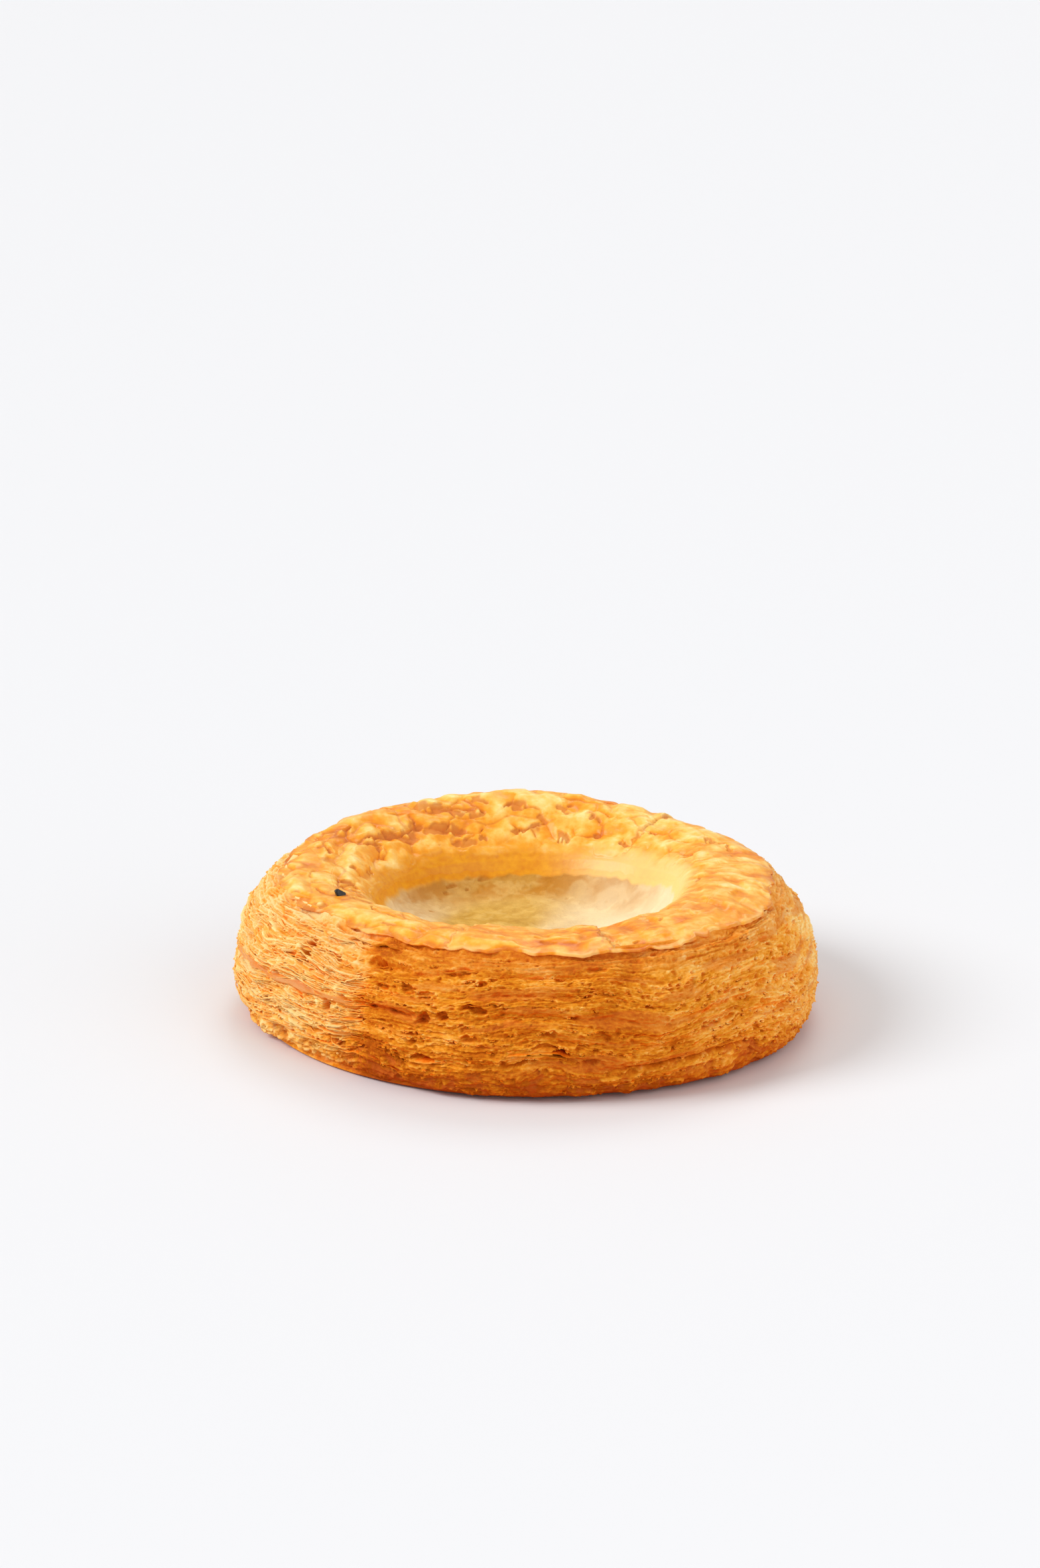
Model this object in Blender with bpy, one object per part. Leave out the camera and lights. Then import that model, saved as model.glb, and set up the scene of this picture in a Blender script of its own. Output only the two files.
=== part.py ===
"""A danish pastry shell: one round of laminated dough, baked with its middle pressed into an empty hollow.

Units are metres and +Z is up. The origin lies on the table, under the middle of the pastry. The section runs
from the middle of the flat foot outwards, up the layered side wall, over the glazed top crust and down into
the hollow. It is spun into a closed body. Each point is then moved out of round and given the relief of baked
dough. Angles round the pastry are counted from +X towards +Y, and the front of the pastry is -Y.
"""

import math

import bmesh
import bpy
from mathutils import Vector, noise

MM = 0.001

# Driving dimensions
OVERALL_WIDTH = 110 * MM
RIM_HEIGHT = 26 * MM
RIM_RADIUS = 45.4 * MM
MOUTH_RADIUS = 28.6 * MM
MOUTH_HEIGHT = 21.2 * MM
FLOOR_HEIGHT = 14 * MM
FOOT_RADIUS = 47 * MM

BELLY_RADIUS = OVERALL_WIDTH / 2 - 0.4 * MM

# The zones of the section
FOOT = 0
WALL = 1
CRUST = 2
HOLLOW = 3

# How finely the body is divided
COLUMNS = 112
FOOT_ROWS = 2
WALL_ROWS = 26
CRUST_ROWS = 13
HOLLOW_ROWS = 10

# The section in three runs of (radius, height). Each run starts where the one before ends.
WALL_RUN = [
    (FOOT_RADIUS, 0.0),
    (51.3 * MM, 0.6 * MM),
    (53.6 * MM, 3.4 * MM),
    (BELLY_RADIUS, 8.4 * MM),
    (54.2 * MM, 13.2 * MM),
    (52.7 * MM, 18.0 * MM),
    (50.2 * MM, 22.0 * MM),
    (47.6 * MM, 24.8 * MM),
    (RIM_RADIUS, RIM_HEIGHT),
]
CRUST_RUN = [
    (RIM_RADIUS, RIM_HEIGHT),
    (42.5 * MM, 26.7 * MM),
    (38.5 * MM, 26.4 * MM),
    (34.5 * MM, 25.2 * MM),
    (31.2 * MM, 23.5 * MM),
    (MOUTH_RADIUS, MOUTH_HEIGHT),
]
HOLLOW_RUN = [
    (MOUTH_RADIUS, MOUTH_HEIGHT),
    (26.8 * MM, 18.6 * MM),
    (24.6 * MM, 16.4 * MM),
    (21.0 * MM, 14.9 * MM),
    (15.0 * MM, 14.2 * MM),
    (7.0 * MM, FLOOR_HEIGHT),
    (0.0, FLOOR_HEIGHT),
]

# Departures from a plain turned shape, at every 45 degrees from +X: how far the outline bulges, how far the
# rim has risen, how far the mouth of the hollow has, and how full the wall is under the rim
OUTLINE_BULGE = [-0.1 * MM, -1.0 * MM, 0.4 * MM, 1.0 * MM, 1.0 * MM, -2.6 * MM, 0.6 * MM, 2.0 * MM]
RIM_LIFT = [-0.2 * MM, 0.7 * MM, 3.3 * MM, 2.1 * MM, 0.0, -0.2 * MM, 0.0, -0.2 * MM]
MOUTH_LIFT = [3.1 * MM, 0.6 * MM, -1.1 * MM, -0.6 * MM, 0.0, 1.0 * MM, 1.6 * MM, 2.2 * MM]
SHOULDER_BULGE = [-0.3 * MM, 0.0, 0.0, 0.0, 0.5 * MM, 0.3 * MM, 0.0, 0.0]

# How far the edges of the layers stand out of the side wall, at every 45 degrees from +X. The layers are
# LAYER_PITCH thick, wander up and down, and each shows for a stretch of about LAYER_LENGTH where its noise is
# high enough
LAYER_DEPTH = [0.8 * MM, 0.8 * MM, 0.9 * MM, 1.1 * MM, 1.4 * MM, 1.5 * MM, 1.1 * MM, 0.9 * MM]
LAYER_PITCH = 3.7 * MM
LAYER_WANDER = 2.4 * MM
LAYER_LENGTH = 16 * MM
LAYER_SHOWS_FROM = -0.3
LAYER_SHOWS_FULLY = 0.25
LAYER_EVEN_LEVEL = 0.4
CRUMB_DEPTH = 0.5 * MM
CRUMB_LENGTH = 5 * MM
CRUMB_PITCH = 2.4 * MM

# The crust's edge overhangs the wall by a groove under it: how far along the wall the groove is, as a share
EDGE_GROOVE_PLACE = 0.93
EDGE_GROOVE_WIDTH = 0.05
EDGE_GROOVE_DEPTH = 1.0 * MM

# The fold in the front left of the wall, where the open layers end: angles in degrees
FOLD_ANGLE = 234
FOLD_WIDTH = 5
FOLD_DEPTH = 0.9 * MM

# The crack that frees the lowest layer on the front right
CRACK_START = 268
CRACK_END = 335
CRACK_FADE = 18
CRACK_HEIGHT = 6.5 * MM
CRACK_DEPTH = 1.0 * MM
CRACK_WIDTH = 1.3 * MM

# The blisters of the top crust, which meet in narrow creases
BLISTER_HEIGHT = 0.9 * MM
BLISTER_SIZE = 7.5 * MM
BLISTER_STEEPNESS = 3.0
BLISTER_EVEN_LEVEL = 0.6

# Places where one sheet of the top crust lies over the next: angle in degrees and the height of the step
CRUST_STEPS = [(50, 1.0 * MM), (252, 0.6 * MM), (289, -0.8 * MM)]
STEP_LENGTH = 22
STEP_TEAR = 3.0
STEP_TEAR_SIZE = 4 * MM

HOLLOW_DEPTH = 0.35 * MM
HOLLOW_LUMP = 9 * MM

# The pastry meets the table on its flat foot alone
LEAST_CLEARANCE = 0.15 * MM
MERGE_DISTANCE = 0.01 * MM
CURVE_STEPS = 24

# Offsets that give each kind of relief its own stretch of noise
LAYER_SHIFT = 3.1
WANDER_SHIFT = 14.2
CRUMB_SHIFT = 11.7
BLISTER_SHIFT = 5.9
TEAR_SHIFT = 7.3
HOLLOW_SHIFT = 9.2

# The dark seed on the left of the crust
SEED_ANGLE = 202.1
SEED_RADIUS_FROM_MIDDLE = 37.8 * MM
SEED_SIZE = (1.9 * MM, 1.4 * MM, 1.2 * MM)
SEED_RISE = 0.15 * MM
SEED_TURN = (0.2, -0.15, 0.6)

CRUST_COLOUR = (0.86, 0.44, 0.11, 1.0)
CRUST_ROUGHNESS = 0.45


def clear_scene():
    for obj in list(bpy.data.objects):
        bpy.data.objects.remove(obj)


def smooth_run(points, rows):
    """rows + 1 points, evenly spaced along a Catmull-Rom curve through the run's points."""
    ends = [2 * Vector(points[0]) - Vector(points[1]), 2 * Vector(points[-1]) - Vector(points[-2])]
    knots = [ends[0]] + [Vector(p) for p in points] + [ends[1]]
    fine = []
    for a, b, c, d in zip(knots, knots[1:], knots[2:], knots[3:]):
        bend = 2 * a - 5 * b + 4 * c - d
        twist = 3 * b - a - 3 * c + d
        for i in range(CURVE_STEPS):
            t = i / CURVE_STEPS
            fine.append(0.5 * (2 * b + (c - a) * t + bend * t**2 + twist * t**3))
    fine.append(Vector(points[-1]))
    lengths = [0.0]
    for a, b in zip(fine, fine[1:]):
        lengths.append(lengths[-1] + (b - a).length)
    spaced = []
    at = 0
    for row in range(rows + 1):
        goal = lengths[-1] * row / rows
        while at < len(lengths) - 2 and lengths[at + 1] < goal:
            at += 1
        share = (goal - lengths[at]) / (lengths[at + 1] - lengths[at])
        spaced.append(fine[at].lerp(fine[at + 1], min(1.0, share)))
    return spaced


def ease(value, low, high):
    """0 below low, 1 above high, and a smooth rise between."""
    t = min(1.0, max(0.0, (value - low) / (high - low)))
    return t * t * (3 - 2 * t)


def section():
    """The section's points, each with its zone and how far along that zone it is, from 0 to 1."""
    points = []
    for row in range(FOOT_ROWS):
        points.append((Vector((FOOT_RADIUS * row / FOOT_ROWS, 0.0)), FOOT, row / FOOT_ROWS))
    runs = [(WALL, WALL_RUN, WALL_ROWS), (CRUST, CRUST_RUN, CRUST_ROWS), (HOLLOW, HOLLOW_RUN, HOLLOW_ROWS)]
    for zone, run, rows in runs:
        for row, point in enumerate(smooth_run(run, rows)[:-1]):
            points.append((point, zone, row / rows))
    points.append((Vector(HOLLOW_RUN[-1]), HOLLOW, 1.0))
    return points


def section_normal(points, index):
    """The outward normal of the section at one of its points, in (radius, height)."""
    before = points[max(0, index - 1)][0]
    after = points[min(len(points) - 1, index + 1)][0]
    along = (after - before).normalized()
    return Vector((along.y, -along.x))


def bump(value, middle, width):
    """1 at the middle, falling smoothly to nothing a width or two away."""
    return math.exp(-(((value - middle) / width) ** 2))


def direction(point):
    """The angle of a point round the pastry, in degrees from +X."""
    return math.degrees(math.atan2(point.y, point.x)) % 360


def by_direction(table, angle):
    """A value read smoothly, by angle, from a table of values at equal angles round the pastry."""
    place = angle / 360 * len(table)
    at = int(place)
    share = ease(place - at, 0.0, 1.0)
    return table[at % len(table)] * (1 - share) + table[(at + 1) % len(table)] * share


def noise_at(point, across, up, shift):
    """Noise from -1 to 1 whose grain is `across` long round the pastry and `up` high."""
    return noise.noise(Vector((point.x / across + shift, point.y / across - shift, point.z / up + 2 * shift)))


def ragged_step(angle, point, step_angle, height):
    """One crust sheet's torn edge over the next: full height at the edge, and gone STEP_LENGTH degrees on."""
    tear = STEP_TEAR * noise_at(point, STEP_TEAR_SIZE, STEP_TEAR_SIZE, TEAR_SHIFT)
    past = (angle - step_angle + tear + 180) % 360 - 180
    if past < 0 or past > STEP_LENGTH:
        return 0.0
    return height * (1 - ease(past, 0, STEP_LENGTH))


def layer_edges(point, angle):
    """The layers' rounded edges and the grooves between them, which wander and come and go round the wall."""
    wander = LAYER_WANDER * noise_at(point, LAYER_LENGTH, LAYER_LENGTH, WANDER_SHIFT)
    off_middle = abs(2 * ((point.z + wander) / LAYER_PITCH % 1) - 1)
    shows = ease(noise_at(point, LAYER_LENGTH, LAYER_PITCH, LAYER_SHIFT), LAYER_SHOWS_FROM, LAYER_SHOWS_FULLY)
    return by_direction(LAYER_DEPTH, angle) * shows * (LAYER_EVEN_LEVEL - off_middle**2)


def wall_relief(point, angle, share):
    """The layers and finer crumb, with the groove under the crust, the fold and the crack cut into them."""
    crumb = CRUMB_DEPTH * noise_at(point, CRUMB_LENGTH, CRUMB_PITCH, CRUMB_SHIFT)
    relief = (layer_edges(point, angle) + crumb) * ease(share, 0.04, 0.2) * (1 - ease(share, 0.9, 1.0))
    groove = EDGE_GROOVE_DEPTH * bump(share, EDGE_GROOVE_PLACE, EDGE_GROOVE_WIDTH)
    on_fold = bump(angle, FOLD_ANGLE, FOLD_WIDTH) * ease(share, 0.15, 0.3) * (1 - ease(share, 0.7, 0.9))
    crack_starts = ease(angle, CRACK_START, CRACK_START + CRACK_FADE)
    crack_ends = 1 - ease(angle, CRACK_END - CRACK_FADE, CRACK_END)
    on_crack = crack_starts * crack_ends * bump(point.z, CRACK_HEIGHT, CRACK_WIDTH)
    return relief - groove - FOLD_DEPTH * on_fold - CRACK_DEPTH * on_crack


def crust_relief(point, angle, share):
    """Blisters of the top crust, and the steps where its sheets overlap."""
    swell = min(1.0, BLISTER_STEEPNESS * abs(noise_at(point, BLISTER_SIZE, BLISTER_SIZE, BLISTER_SHIFT)))
    fade = ease(share, 0.0, 0.12) * (1 - 0.7 * ease(share, 0.75, 1.0))
    steps = sum(ragged_step(angle, point, at, height) for at, height in CRUST_STEPS)
    return (BLISTER_HEIGHT * (swell - BLISTER_EVEN_LEVEL) + steps) * fade


def hollow_relief(point, share):
    return HOLLOW_DEPTH * noise_at(point, HOLLOW_LUMP, HOLLOW_LUMP, HOLLOW_SHIFT) * ease(share, 0.0, 0.2)


def settle(point, angle, zone, share):
    """How far the dough rose or slumped at a point: a vector that moves the turned shape out of true."""
    if zone == WALL:
        up = point.z / RIM_HEIGHT
        rise = up**2
        mouth = 0.0
        spread = ease(up, 0.0, 0.04)
        shoulder = ease(up, 0.5, 0.8) * (1 - ease(up, 0.9, 1.0))
    elif zone == CRUST:
        mouth = ease(share, 0.1, 0.95)
        rise = 1 - mouth
        spread = 1 - 0.6 * mouth
        shoulder = 0.0
    else:
        mouth = 1 - ease(share, 0.0, 0.4)
        rise = 0.0
        spread = 0.4 * (1 - ease(share, 0.2, 1.0))
        shoulder = 0.0
    outward = spread * by_direction(OUTLINE_BULGE, angle) + shoulder * by_direction(SHOULDER_BULGE, angle)
    lift = rise * by_direction(RIM_LIFT, angle) + mouth * by_direction(MOUTH_LIFT, angle)
    turn = math.radians(angle)
    return Vector((outward * math.cos(turn), outward * math.sin(turn), lift))


def turned_body():
    """The section spun round the Z axis, with each point's row kept in a layer."""
    mesh = bmesh.new()
    row_layer = mesh.verts.layers.int.new("row")
    points = section()
    profile = []
    for row, (point, _zone, _share) in enumerate(points):
        vertex = mesh.verts.new((point.x, 0.0, point.y))
        vertex[row_layer] = row
        profile.append(vertex)
    edges = [mesh.edges.new(pair) for pair in zip(profile, profile[1:])]
    bmesh.ops.spin(
        mesh,
        geom=profile + edges,
        axis=(0, 0, 1),
        cent=(0, 0, 0),
        angle=2 * math.pi,
        steps=COLUMNS,
        use_merge=True,
    )
    bmesh.ops.remove_doubles(mesh, verts=mesh.verts, dist=MERGE_DISTANCE)
    bmesh.ops.recalc_face_normals(mesh, faces=mesh.faces)
    return mesh, row_layer, points


def bake(mesh, row_layer, points):
    """Moves every point that isn't on the flat foot by the settling and the relief of its zone."""
    for vertex in mesh.verts:
        row = vertex[row_layer]
        _point, zone, share = points[row]
        if zone == FOOT or (zone == WALL and share == 0):
            continue
        place = vertex.co.copy()
        angle = direction(place)
        normal = section_normal(points, row)
        outward = Vector((place.x, place.y, 0.0)).normalized()
        out = outward * normal.x + Vector((0, 0, normal.y))
        if zone == WALL:
            relief = wall_relief(place, angle, share)
        elif zone == CRUST:
            relief = crust_relief(place, angle, share)
        else:
            relief = hollow_relief(place, share)
        vertex.co = place + settle(place, angle, zone, share) + out * relief
        vertex.co.z = max(vertex.co.z, LEAST_CLEARANCE)


def centre_over_origin(mesh):
    xs = [v.co.x for v in mesh.verts]
    ys = [v.co.y for v in mesh.verts]
    middle = Vector((max(xs) + min(xs), max(ys) + min(ys), 0.0)) / 2
    bmesh.ops.translate(mesh, vec=-middle, verts=mesh.verts)


def baked_material():
    material = bpy.data.materials.new("baked_crust")
    material.use_nodes = True
    shader = material.node_tree.nodes["Principled BSDF"]
    shader.inputs["Base Color"].default_value = CRUST_COLOUR
    shader.inputs["Roughness"].default_value = CRUST_ROUGHNESS
    shader.inputs["Metallic"].default_value = 0.0
    return material


def surface_height(obj, x, y):
    """The height of the crust's surface over a point of the table."""
    hit, place, _normal, _face = obj.ray_cast(Vector((x, y, 2 * RIM_HEIGHT)), Vector((0, 0, -1)))
    return place.z if hit else RIM_HEIGHT


def fuse_seed(pastry):
    """Sets the seed into the crust and joins the two into one solid."""
    angle = math.radians(SEED_ANGLE)
    x, y = SEED_RADIUS_FROM_MIDDLE * math.cos(angle), SEED_RADIUS_FROM_MIDDLE * math.sin(angle)
    bpy.ops.mesh.primitive_ico_sphere_add(subdivisions=2, radius=0.5)
    seed = bpy.context.object
    seed.name = "seed"
    seed.scale = SEED_SIZE
    seed.location = (x, y, surface_height(pastry, x, y) + SEED_RISE)
    seed.rotation_euler = SEED_TURN
    seed.data.materials.append(pastry.data.materials[0])
    union = pastry.modifiers.new("seed", "BOOLEAN")
    union.operation = "UNION"
    union.solver = "EXACT"
    union.object = seed
    bpy.context.view_layer.update()
    graph = bpy.context.evaluated_depsgraph_get()
    joined = bpy.data.meshes.new_from_object(pastry.evaluated_get(graph))
    pastry.modifiers.clear()
    pastry.data = joined
    bpy.data.objects.remove(seed)


def build():
    clear_scene()
    collection = bpy.data.collections.new("danish_pastry")
    bpy.context.scene.collection.children.link(collection)
    mesh, row_layer, points = turned_body()
    bake(mesh, row_layer, points)
    centre_over_origin(mesh)
    data = bpy.data.meshes.new("pastry")
    mesh.to_mesh(data)
    mesh.free()
    data.materials.append(baked_material())
    pastry = bpy.data.objects.new("pastry", data)
    collection.objects.link(pastry)
    bpy.context.view_layer.update()
    fuse_seed(pastry)
    pastry.data.shade_smooth()


build()
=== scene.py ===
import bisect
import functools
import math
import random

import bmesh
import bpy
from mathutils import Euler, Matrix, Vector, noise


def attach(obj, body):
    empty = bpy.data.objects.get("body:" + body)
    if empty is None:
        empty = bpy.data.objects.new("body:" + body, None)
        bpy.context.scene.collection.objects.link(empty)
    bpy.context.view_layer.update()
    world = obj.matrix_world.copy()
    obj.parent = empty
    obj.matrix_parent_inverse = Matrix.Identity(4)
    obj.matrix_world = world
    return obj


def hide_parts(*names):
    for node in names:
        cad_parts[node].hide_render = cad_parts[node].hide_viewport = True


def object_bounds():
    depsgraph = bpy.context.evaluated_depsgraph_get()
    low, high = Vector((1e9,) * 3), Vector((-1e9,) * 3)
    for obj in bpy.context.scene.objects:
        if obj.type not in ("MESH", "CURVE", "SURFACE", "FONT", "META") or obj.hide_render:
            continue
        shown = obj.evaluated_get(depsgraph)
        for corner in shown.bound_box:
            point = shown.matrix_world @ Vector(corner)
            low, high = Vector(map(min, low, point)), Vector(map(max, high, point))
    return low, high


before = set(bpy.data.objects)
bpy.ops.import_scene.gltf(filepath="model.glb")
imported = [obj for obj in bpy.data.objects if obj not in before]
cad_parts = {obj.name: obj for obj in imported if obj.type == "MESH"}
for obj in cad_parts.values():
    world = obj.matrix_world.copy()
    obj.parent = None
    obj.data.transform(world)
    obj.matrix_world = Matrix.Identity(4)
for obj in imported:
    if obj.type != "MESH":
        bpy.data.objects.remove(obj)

# The looks of a round danish pastry shell. Its side wall is thick layers of torn dough, with thin sheets,
# strands, flakes and crumbs standing out of them. A glazed and blistered crust overhangs the wall and runs
# down to the soft dough of the empty hollow. One dark seed lies on the crust.
#
# Angles round the pastry are counted in degrees from +X towards +Y, and its front is -Y (270).
# Shapes are worked out in millimetres, and a piece becomes metres when it is finished.

CAD_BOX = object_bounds()
MM = 0.001
BODY = "root"
NODE = "pastry"
UP = Vector((0.0, 0.0, 1.0))
# Without a seed of its own, noise_vector would differ from run to run
noise.seed_set(5)

# --------------------------------------------------------------------------------------------------
# The pastry's form, as in the solid
# --------------------------------------------------------------------------------------------------

RIM_HEIGHT = 26.0
RIM_RADIUS = 45.4
MOUTH_RADIUS = 28.6
MOUTH_HEIGHT = 21.2
FLOOR_HEIGHT = 14.0
FOOT_RADIUS = 47.0
BELLY_RADIUS = 54.6

# The section in three runs of (radius, height)
WALL_RUN = [
    (FOOT_RADIUS, 0.0),
    (51.3, 0.6),
    (53.6, 3.4),
    (BELLY_RADIUS, 8.4),
    (54.2, 13.2),
    (52.7, 18.0),
    (50.2, 22.0),
    (47.6, 24.8),
    (RIM_RADIUS, RIM_HEIGHT),
]
CRUST_RUN = [
    (RIM_RADIUS, RIM_HEIGHT),
    (42.5, 26.7),
    (38.5, 26.4),
    (34.5, 25.2),
    (31.2, 23.5),
    (MOUTH_RADIUS, MOUTH_HEIGHT),
]
HOLLOW_RUN = [
    (MOUTH_RADIUS, MOUTH_HEIGHT),
    (26.8, 18.6),
    (24.6, 16.4),
    (21.0, 14.9),
    (15.0, 14.2),
    (7.0, FLOOR_HEIGHT),
    (0.0, FLOOR_HEIGHT),
]

# Departures from a plain turned shape. This table and the others with eight values go by direction: a
# value for every 45 degrees from +X.
OUTLINE_BULGE = [-0.1, -1.0, 0.4, 1.0, 1.0, -2.6, 0.6, 2.0]
RIM_LIFT = [-0.2, 0.7, 3.3, 2.1, 0.0, -0.2, 0.0, -0.2]
MOUTH_LIFT = [3.1, 0.6, -1.1, -0.6, 0.0, 1.0, 1.6, 2.2]
SHOULDER_BULGE = [-0.3, 0.0, 0.0, 0.0, 0.5, 0.3, 0.0, 0.0]

# The thick layers of the wall
LAYER_DEPTH = [0.8, 0.8, 0.9, 1.1, 1.4, 1.5, 1.1, 0.9]
LAYER_PITCH = 3.7
LAYER_WANDER = 2.4
LAYER_LENGTH = 16.0
CRUMB_DEPTH = 0.5
CRUMB_LENGTH = 5.0
CRUMB_PITCH = 2.4
FOLD_ANGLE = 234
FOLD_WIDTH = 5
FOLD_DEPTH = 0.9

# The large blisters of the crust, and the places where its sheets overlap: (angle, height of the step)
BLISTER_HEIGHT = 0.9
BLISTER_SIZE = 7.5
BLISTER_STEEPNESS = 3.0
CRUST_STEPS = [(50, 1.0), (252, 0.6), (289, -0.8)]
STEP_LENGTH = 22
STEP_TEAR = 3.0
STEP_TEAR_SIZE = 4.0
# This step is the other way up on its half towards the mouth
CROSSING_STEP = 50
HOLLOW_DEPTH = 0.35
HOLLOW_LUMP = 9.0

# Offsets that give each kind of relief its own stretch of noise
LAYER_SHIFT = 3.1
WANDER_SHIFT = 14.2
CRUMB_SHIFT = 11.7
BLISTER_SHIFT = 5.9
HOLLOW_SHIFT = 9.2
TEAR_SHIFT = 7.3

MERGE_DISTANCE = 0.001
CURVE_STEPS = 24


def ease(value, low, high):
    """0 below low, 1 above high, and a smooth rise between."""
    t = min(1.0, max(0.0, (value - low) / (high - low)))
    return t * t * (3 - 2 * t)


def bump(value, middle, width):
    return math.exp(-(((value - middle) / width) ** 2))


def blend(a, b, share):
    return a + (b - a) * share


def turn_between(angle, other):
    """How far an angle is past another, from -180 to 180."""
    return (angle - other + 180) % 360 - 180


def by_direction(table, angle):
    """A value read smoothly, by angle, from a table of values at equal angles round the pastry."""
    place = angle / 360 * len(table)
    at = int(place)
    share = ease(place - at, 0.0, 1.0)
    return blend(table[at % len(table)], table[(at + 1) % len(table)], share)


def grain(place, across, up, shift):
    """Noise from -1 to 1 whose grain is `across` long round the pastry and `up` high."""
    at = Vector((place.x / across + shift, place.y / across - shift, place.z / up + 2 * shift))
    return noise.noise(at)


def pattern(place, waves):
    """A sum of noises, each given as its weight, its length round the pastry, its height and its shift."""
    return sum(weight * grain(place, across, up, shift) for weight, across, up, shift in waves)


def scattered_points(place, across, up, shift):
    """Points scattered `across` apart round the pastry and `up` apart in height. Gives this place in units
    of that spacing, the distances to the nearest points, and the nearest with its own number from 0 to 1."""
    at = Vector((place.x / across + shift, place.y / across - shift, place.z / up + shift))
    distances, points = noise.voronoi(at)
    return at, distances, points[0], 0.5 + 0.5 * noise.cell(13 * points[0])


def scatter(place, across, up, shift):
    """The distance to the nearest scattered point, how far above it this place is, and its own number."""
    at, distances, nearest, own = scattered_points(place, across, up, shift)
    return distances[0], at.z - nearest.z, own


def smooth_run(points, rows):
    """rows + 1 points, evenly spaced along a Catmull-Rom curve through the run's points."""
    ends = [2 * Vector(points[0]) - Vector(points[1]), 2 * Vector(points[-1]) - Vector(points[-2])]
    knots = [ends[0]] + [Vector(p) for p in points] + [ends[1]]
    fine = []
    for a, b, c, d in zip(knots, knots[1:], knots[2:], knots[3:]):
        bend = 2 * a - 5 * b + 4 * c - d
        twist = 3 * b - a - 3 * c + d
        for i in range(CURVE_STEPS):
            t = i / CURVE_STEPS
            fine.append(0.5 * (2 * b + (c - a) * t + bend * t**2 + twist * t**3))
    fine.append(Vector(points[-1]))
    lengths = [0.0]
    for a, b in zip(fine, fine[1:]):
        lengths.append(lengths[-1] + (b - a).length)
    spaced = []
    at = 0
    for row in range(rows + 1):
        goal = lengths[-1] * row / rows
        while at < len(lengths) - 2 and lengths[at + 1] < goal:
            at += 1
        share = (goal - lengths[at]) / (lengths[at + 1] - lengths[at])
        spaced.append(fine[at].lerp(fine[at + 1], min(1.0, share)))
    return spaced


class Course:
    """A run of the section that can be read at any distance along it."""

    STEPS = 400

    def __init__(self, run):
        self.points = smooth_run(run, self.STEPS)
        self.step = (self.points[1] - self.points[0]).length
        self.length = self.step * self.STEPS
        self.heights = [point.y for point in self.points]
        self.normals = []
        for a, b in zip(self.points, self.points[1:]):
            along = (b - a).normalized()
            self.normals.append(Vector((along.y, -along.x)))

    def at(self, distance):
        """The point (radius, height) and the outward normal at a distance along the run."""
        place = min(self.STEPS - 1e-6, max(0.0, distance / self.step))
        row = int(place)
        return self.points[row].lerp(self.points[row + 1], place - row), self.normals[row]

    def distance_at(self, height):
        """How far along a run that only rises a height is."""
        row = min(self.STEPS, max(1, bisect.bisect_left(self.heights, height)))
        low, high = self.heights[row - 1], self.heights[row]
        share = min(1.0, max(0.0, (height - low) / (high - low)))
        return self.step * (row - 1 + share)


WALL = Course(WALL_RUN)
CRUST = Course(CRUST_RUN)
HOLLOW = Course(HOLLOW_RUN)


class Column:
    """One direction round the pastry, and what the shape needs to know about it."""

    def __init__(self, angle):
        self.angle = angle
        turn = math.radians(angle)
        self.out = Vector((math.cos(turn), math.sin(turn), 0.0))
        self.tangent = Vector((-math.sin(turn), math.cos(turn), 0.0))
        self.bulge = by_direction(OUTLINE_BULGE, angle)
        self.rim_lift = by_direction(RIM_LIFT, angle)
        self.mouth_lift = by_direction(MOUTH_LIFT, angle)
        self.shoulder = by_direction(SHOULDER_BULGE, angle)
        self.layer_depth = by_direction(LAYER_DEPTH, angle)
        self.fold = bump(angle, FOLD_ANGLE, FOLD_WIDTH)
        self.openness = openness_at(angle)
        self.bubbles = by_direction(BUBBLES, angle)
        self.bake = bake_at(angle) + 0.16 * self.fold
        self.groove = by_direction(EDGE_GROOVE, angle)
        self.strata = by_direction(STRATA, angle)
        crack_starts = ease(angle, CRACK_START, CRACK_START + CRACK_FADE)
        self.crack = crack_starts * (1 - ease(angle, CRACK_END - CRACK_FADE, CRACK_END))
        self.crack_level = blend(CRACK_LEVELS[0], CRACK_LEVELS[1], ease(angle, CRACK_START, CRACK_END))
        band_starts = ease(angle, BAND_START - 4, BAND_START + 4)
        self.band = band_starts * (1 - ease(angle, BAND_END - 3, BAND_END + 1))
        self.blistered = by_direction(BLISTERED, angle)
        self.back = by_direction(BACK, angle)
        self.crust_bake = by_direction(CRUST_BAKE, angle)
        self.outward = by_direction(OUTWARD, angle)
        self.pale = by_direction(PALE_AND_PAINTED_LIGHT, angle)
        self.edge_reach = crust_edge_reach(self)
        self.glaze_fade = by_direction(GLAZE_FADE, angle)
        self.glaze_end = glaze_end_at(self)

    def turned(self, point):
        """A (radius, height) point or direction of the section, turned to this direction."""
        return point.x * self.out + point.y * UP


@functools.lru_cache(maxsize=None)
def column_at(angle):
    return Column(round(angle % 360, 4))


def settle_wall(column, height):
    """How far the wall's dough spread and rose at a height of the turned shape."""
    up = height / RIM_HEIGHT
    shoulder = ease(up, 0.5, 0.8) * (1 - ease(up, 0.9, 1.0))
    spread = ease(up, 0.0, 0.04) * column.bulge + shoulder * column.shoulder
    return spread, up**2 * column.rim_lift


def settle_crust(column, share):
    mouth = ease(share, 0.1, 0.95)
    return (1 - 0.6 * mouth) * column.bulge, blend(column.rim_lift, column.mouth_lift, mouth)


def settle_hollow(column, share):
    return 0.4 * (1 - ease(share, 0.2, 1.0)) * column.bulge, (1 - ease(share, 0.0, 0.4)) * column.mouth_lift


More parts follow.
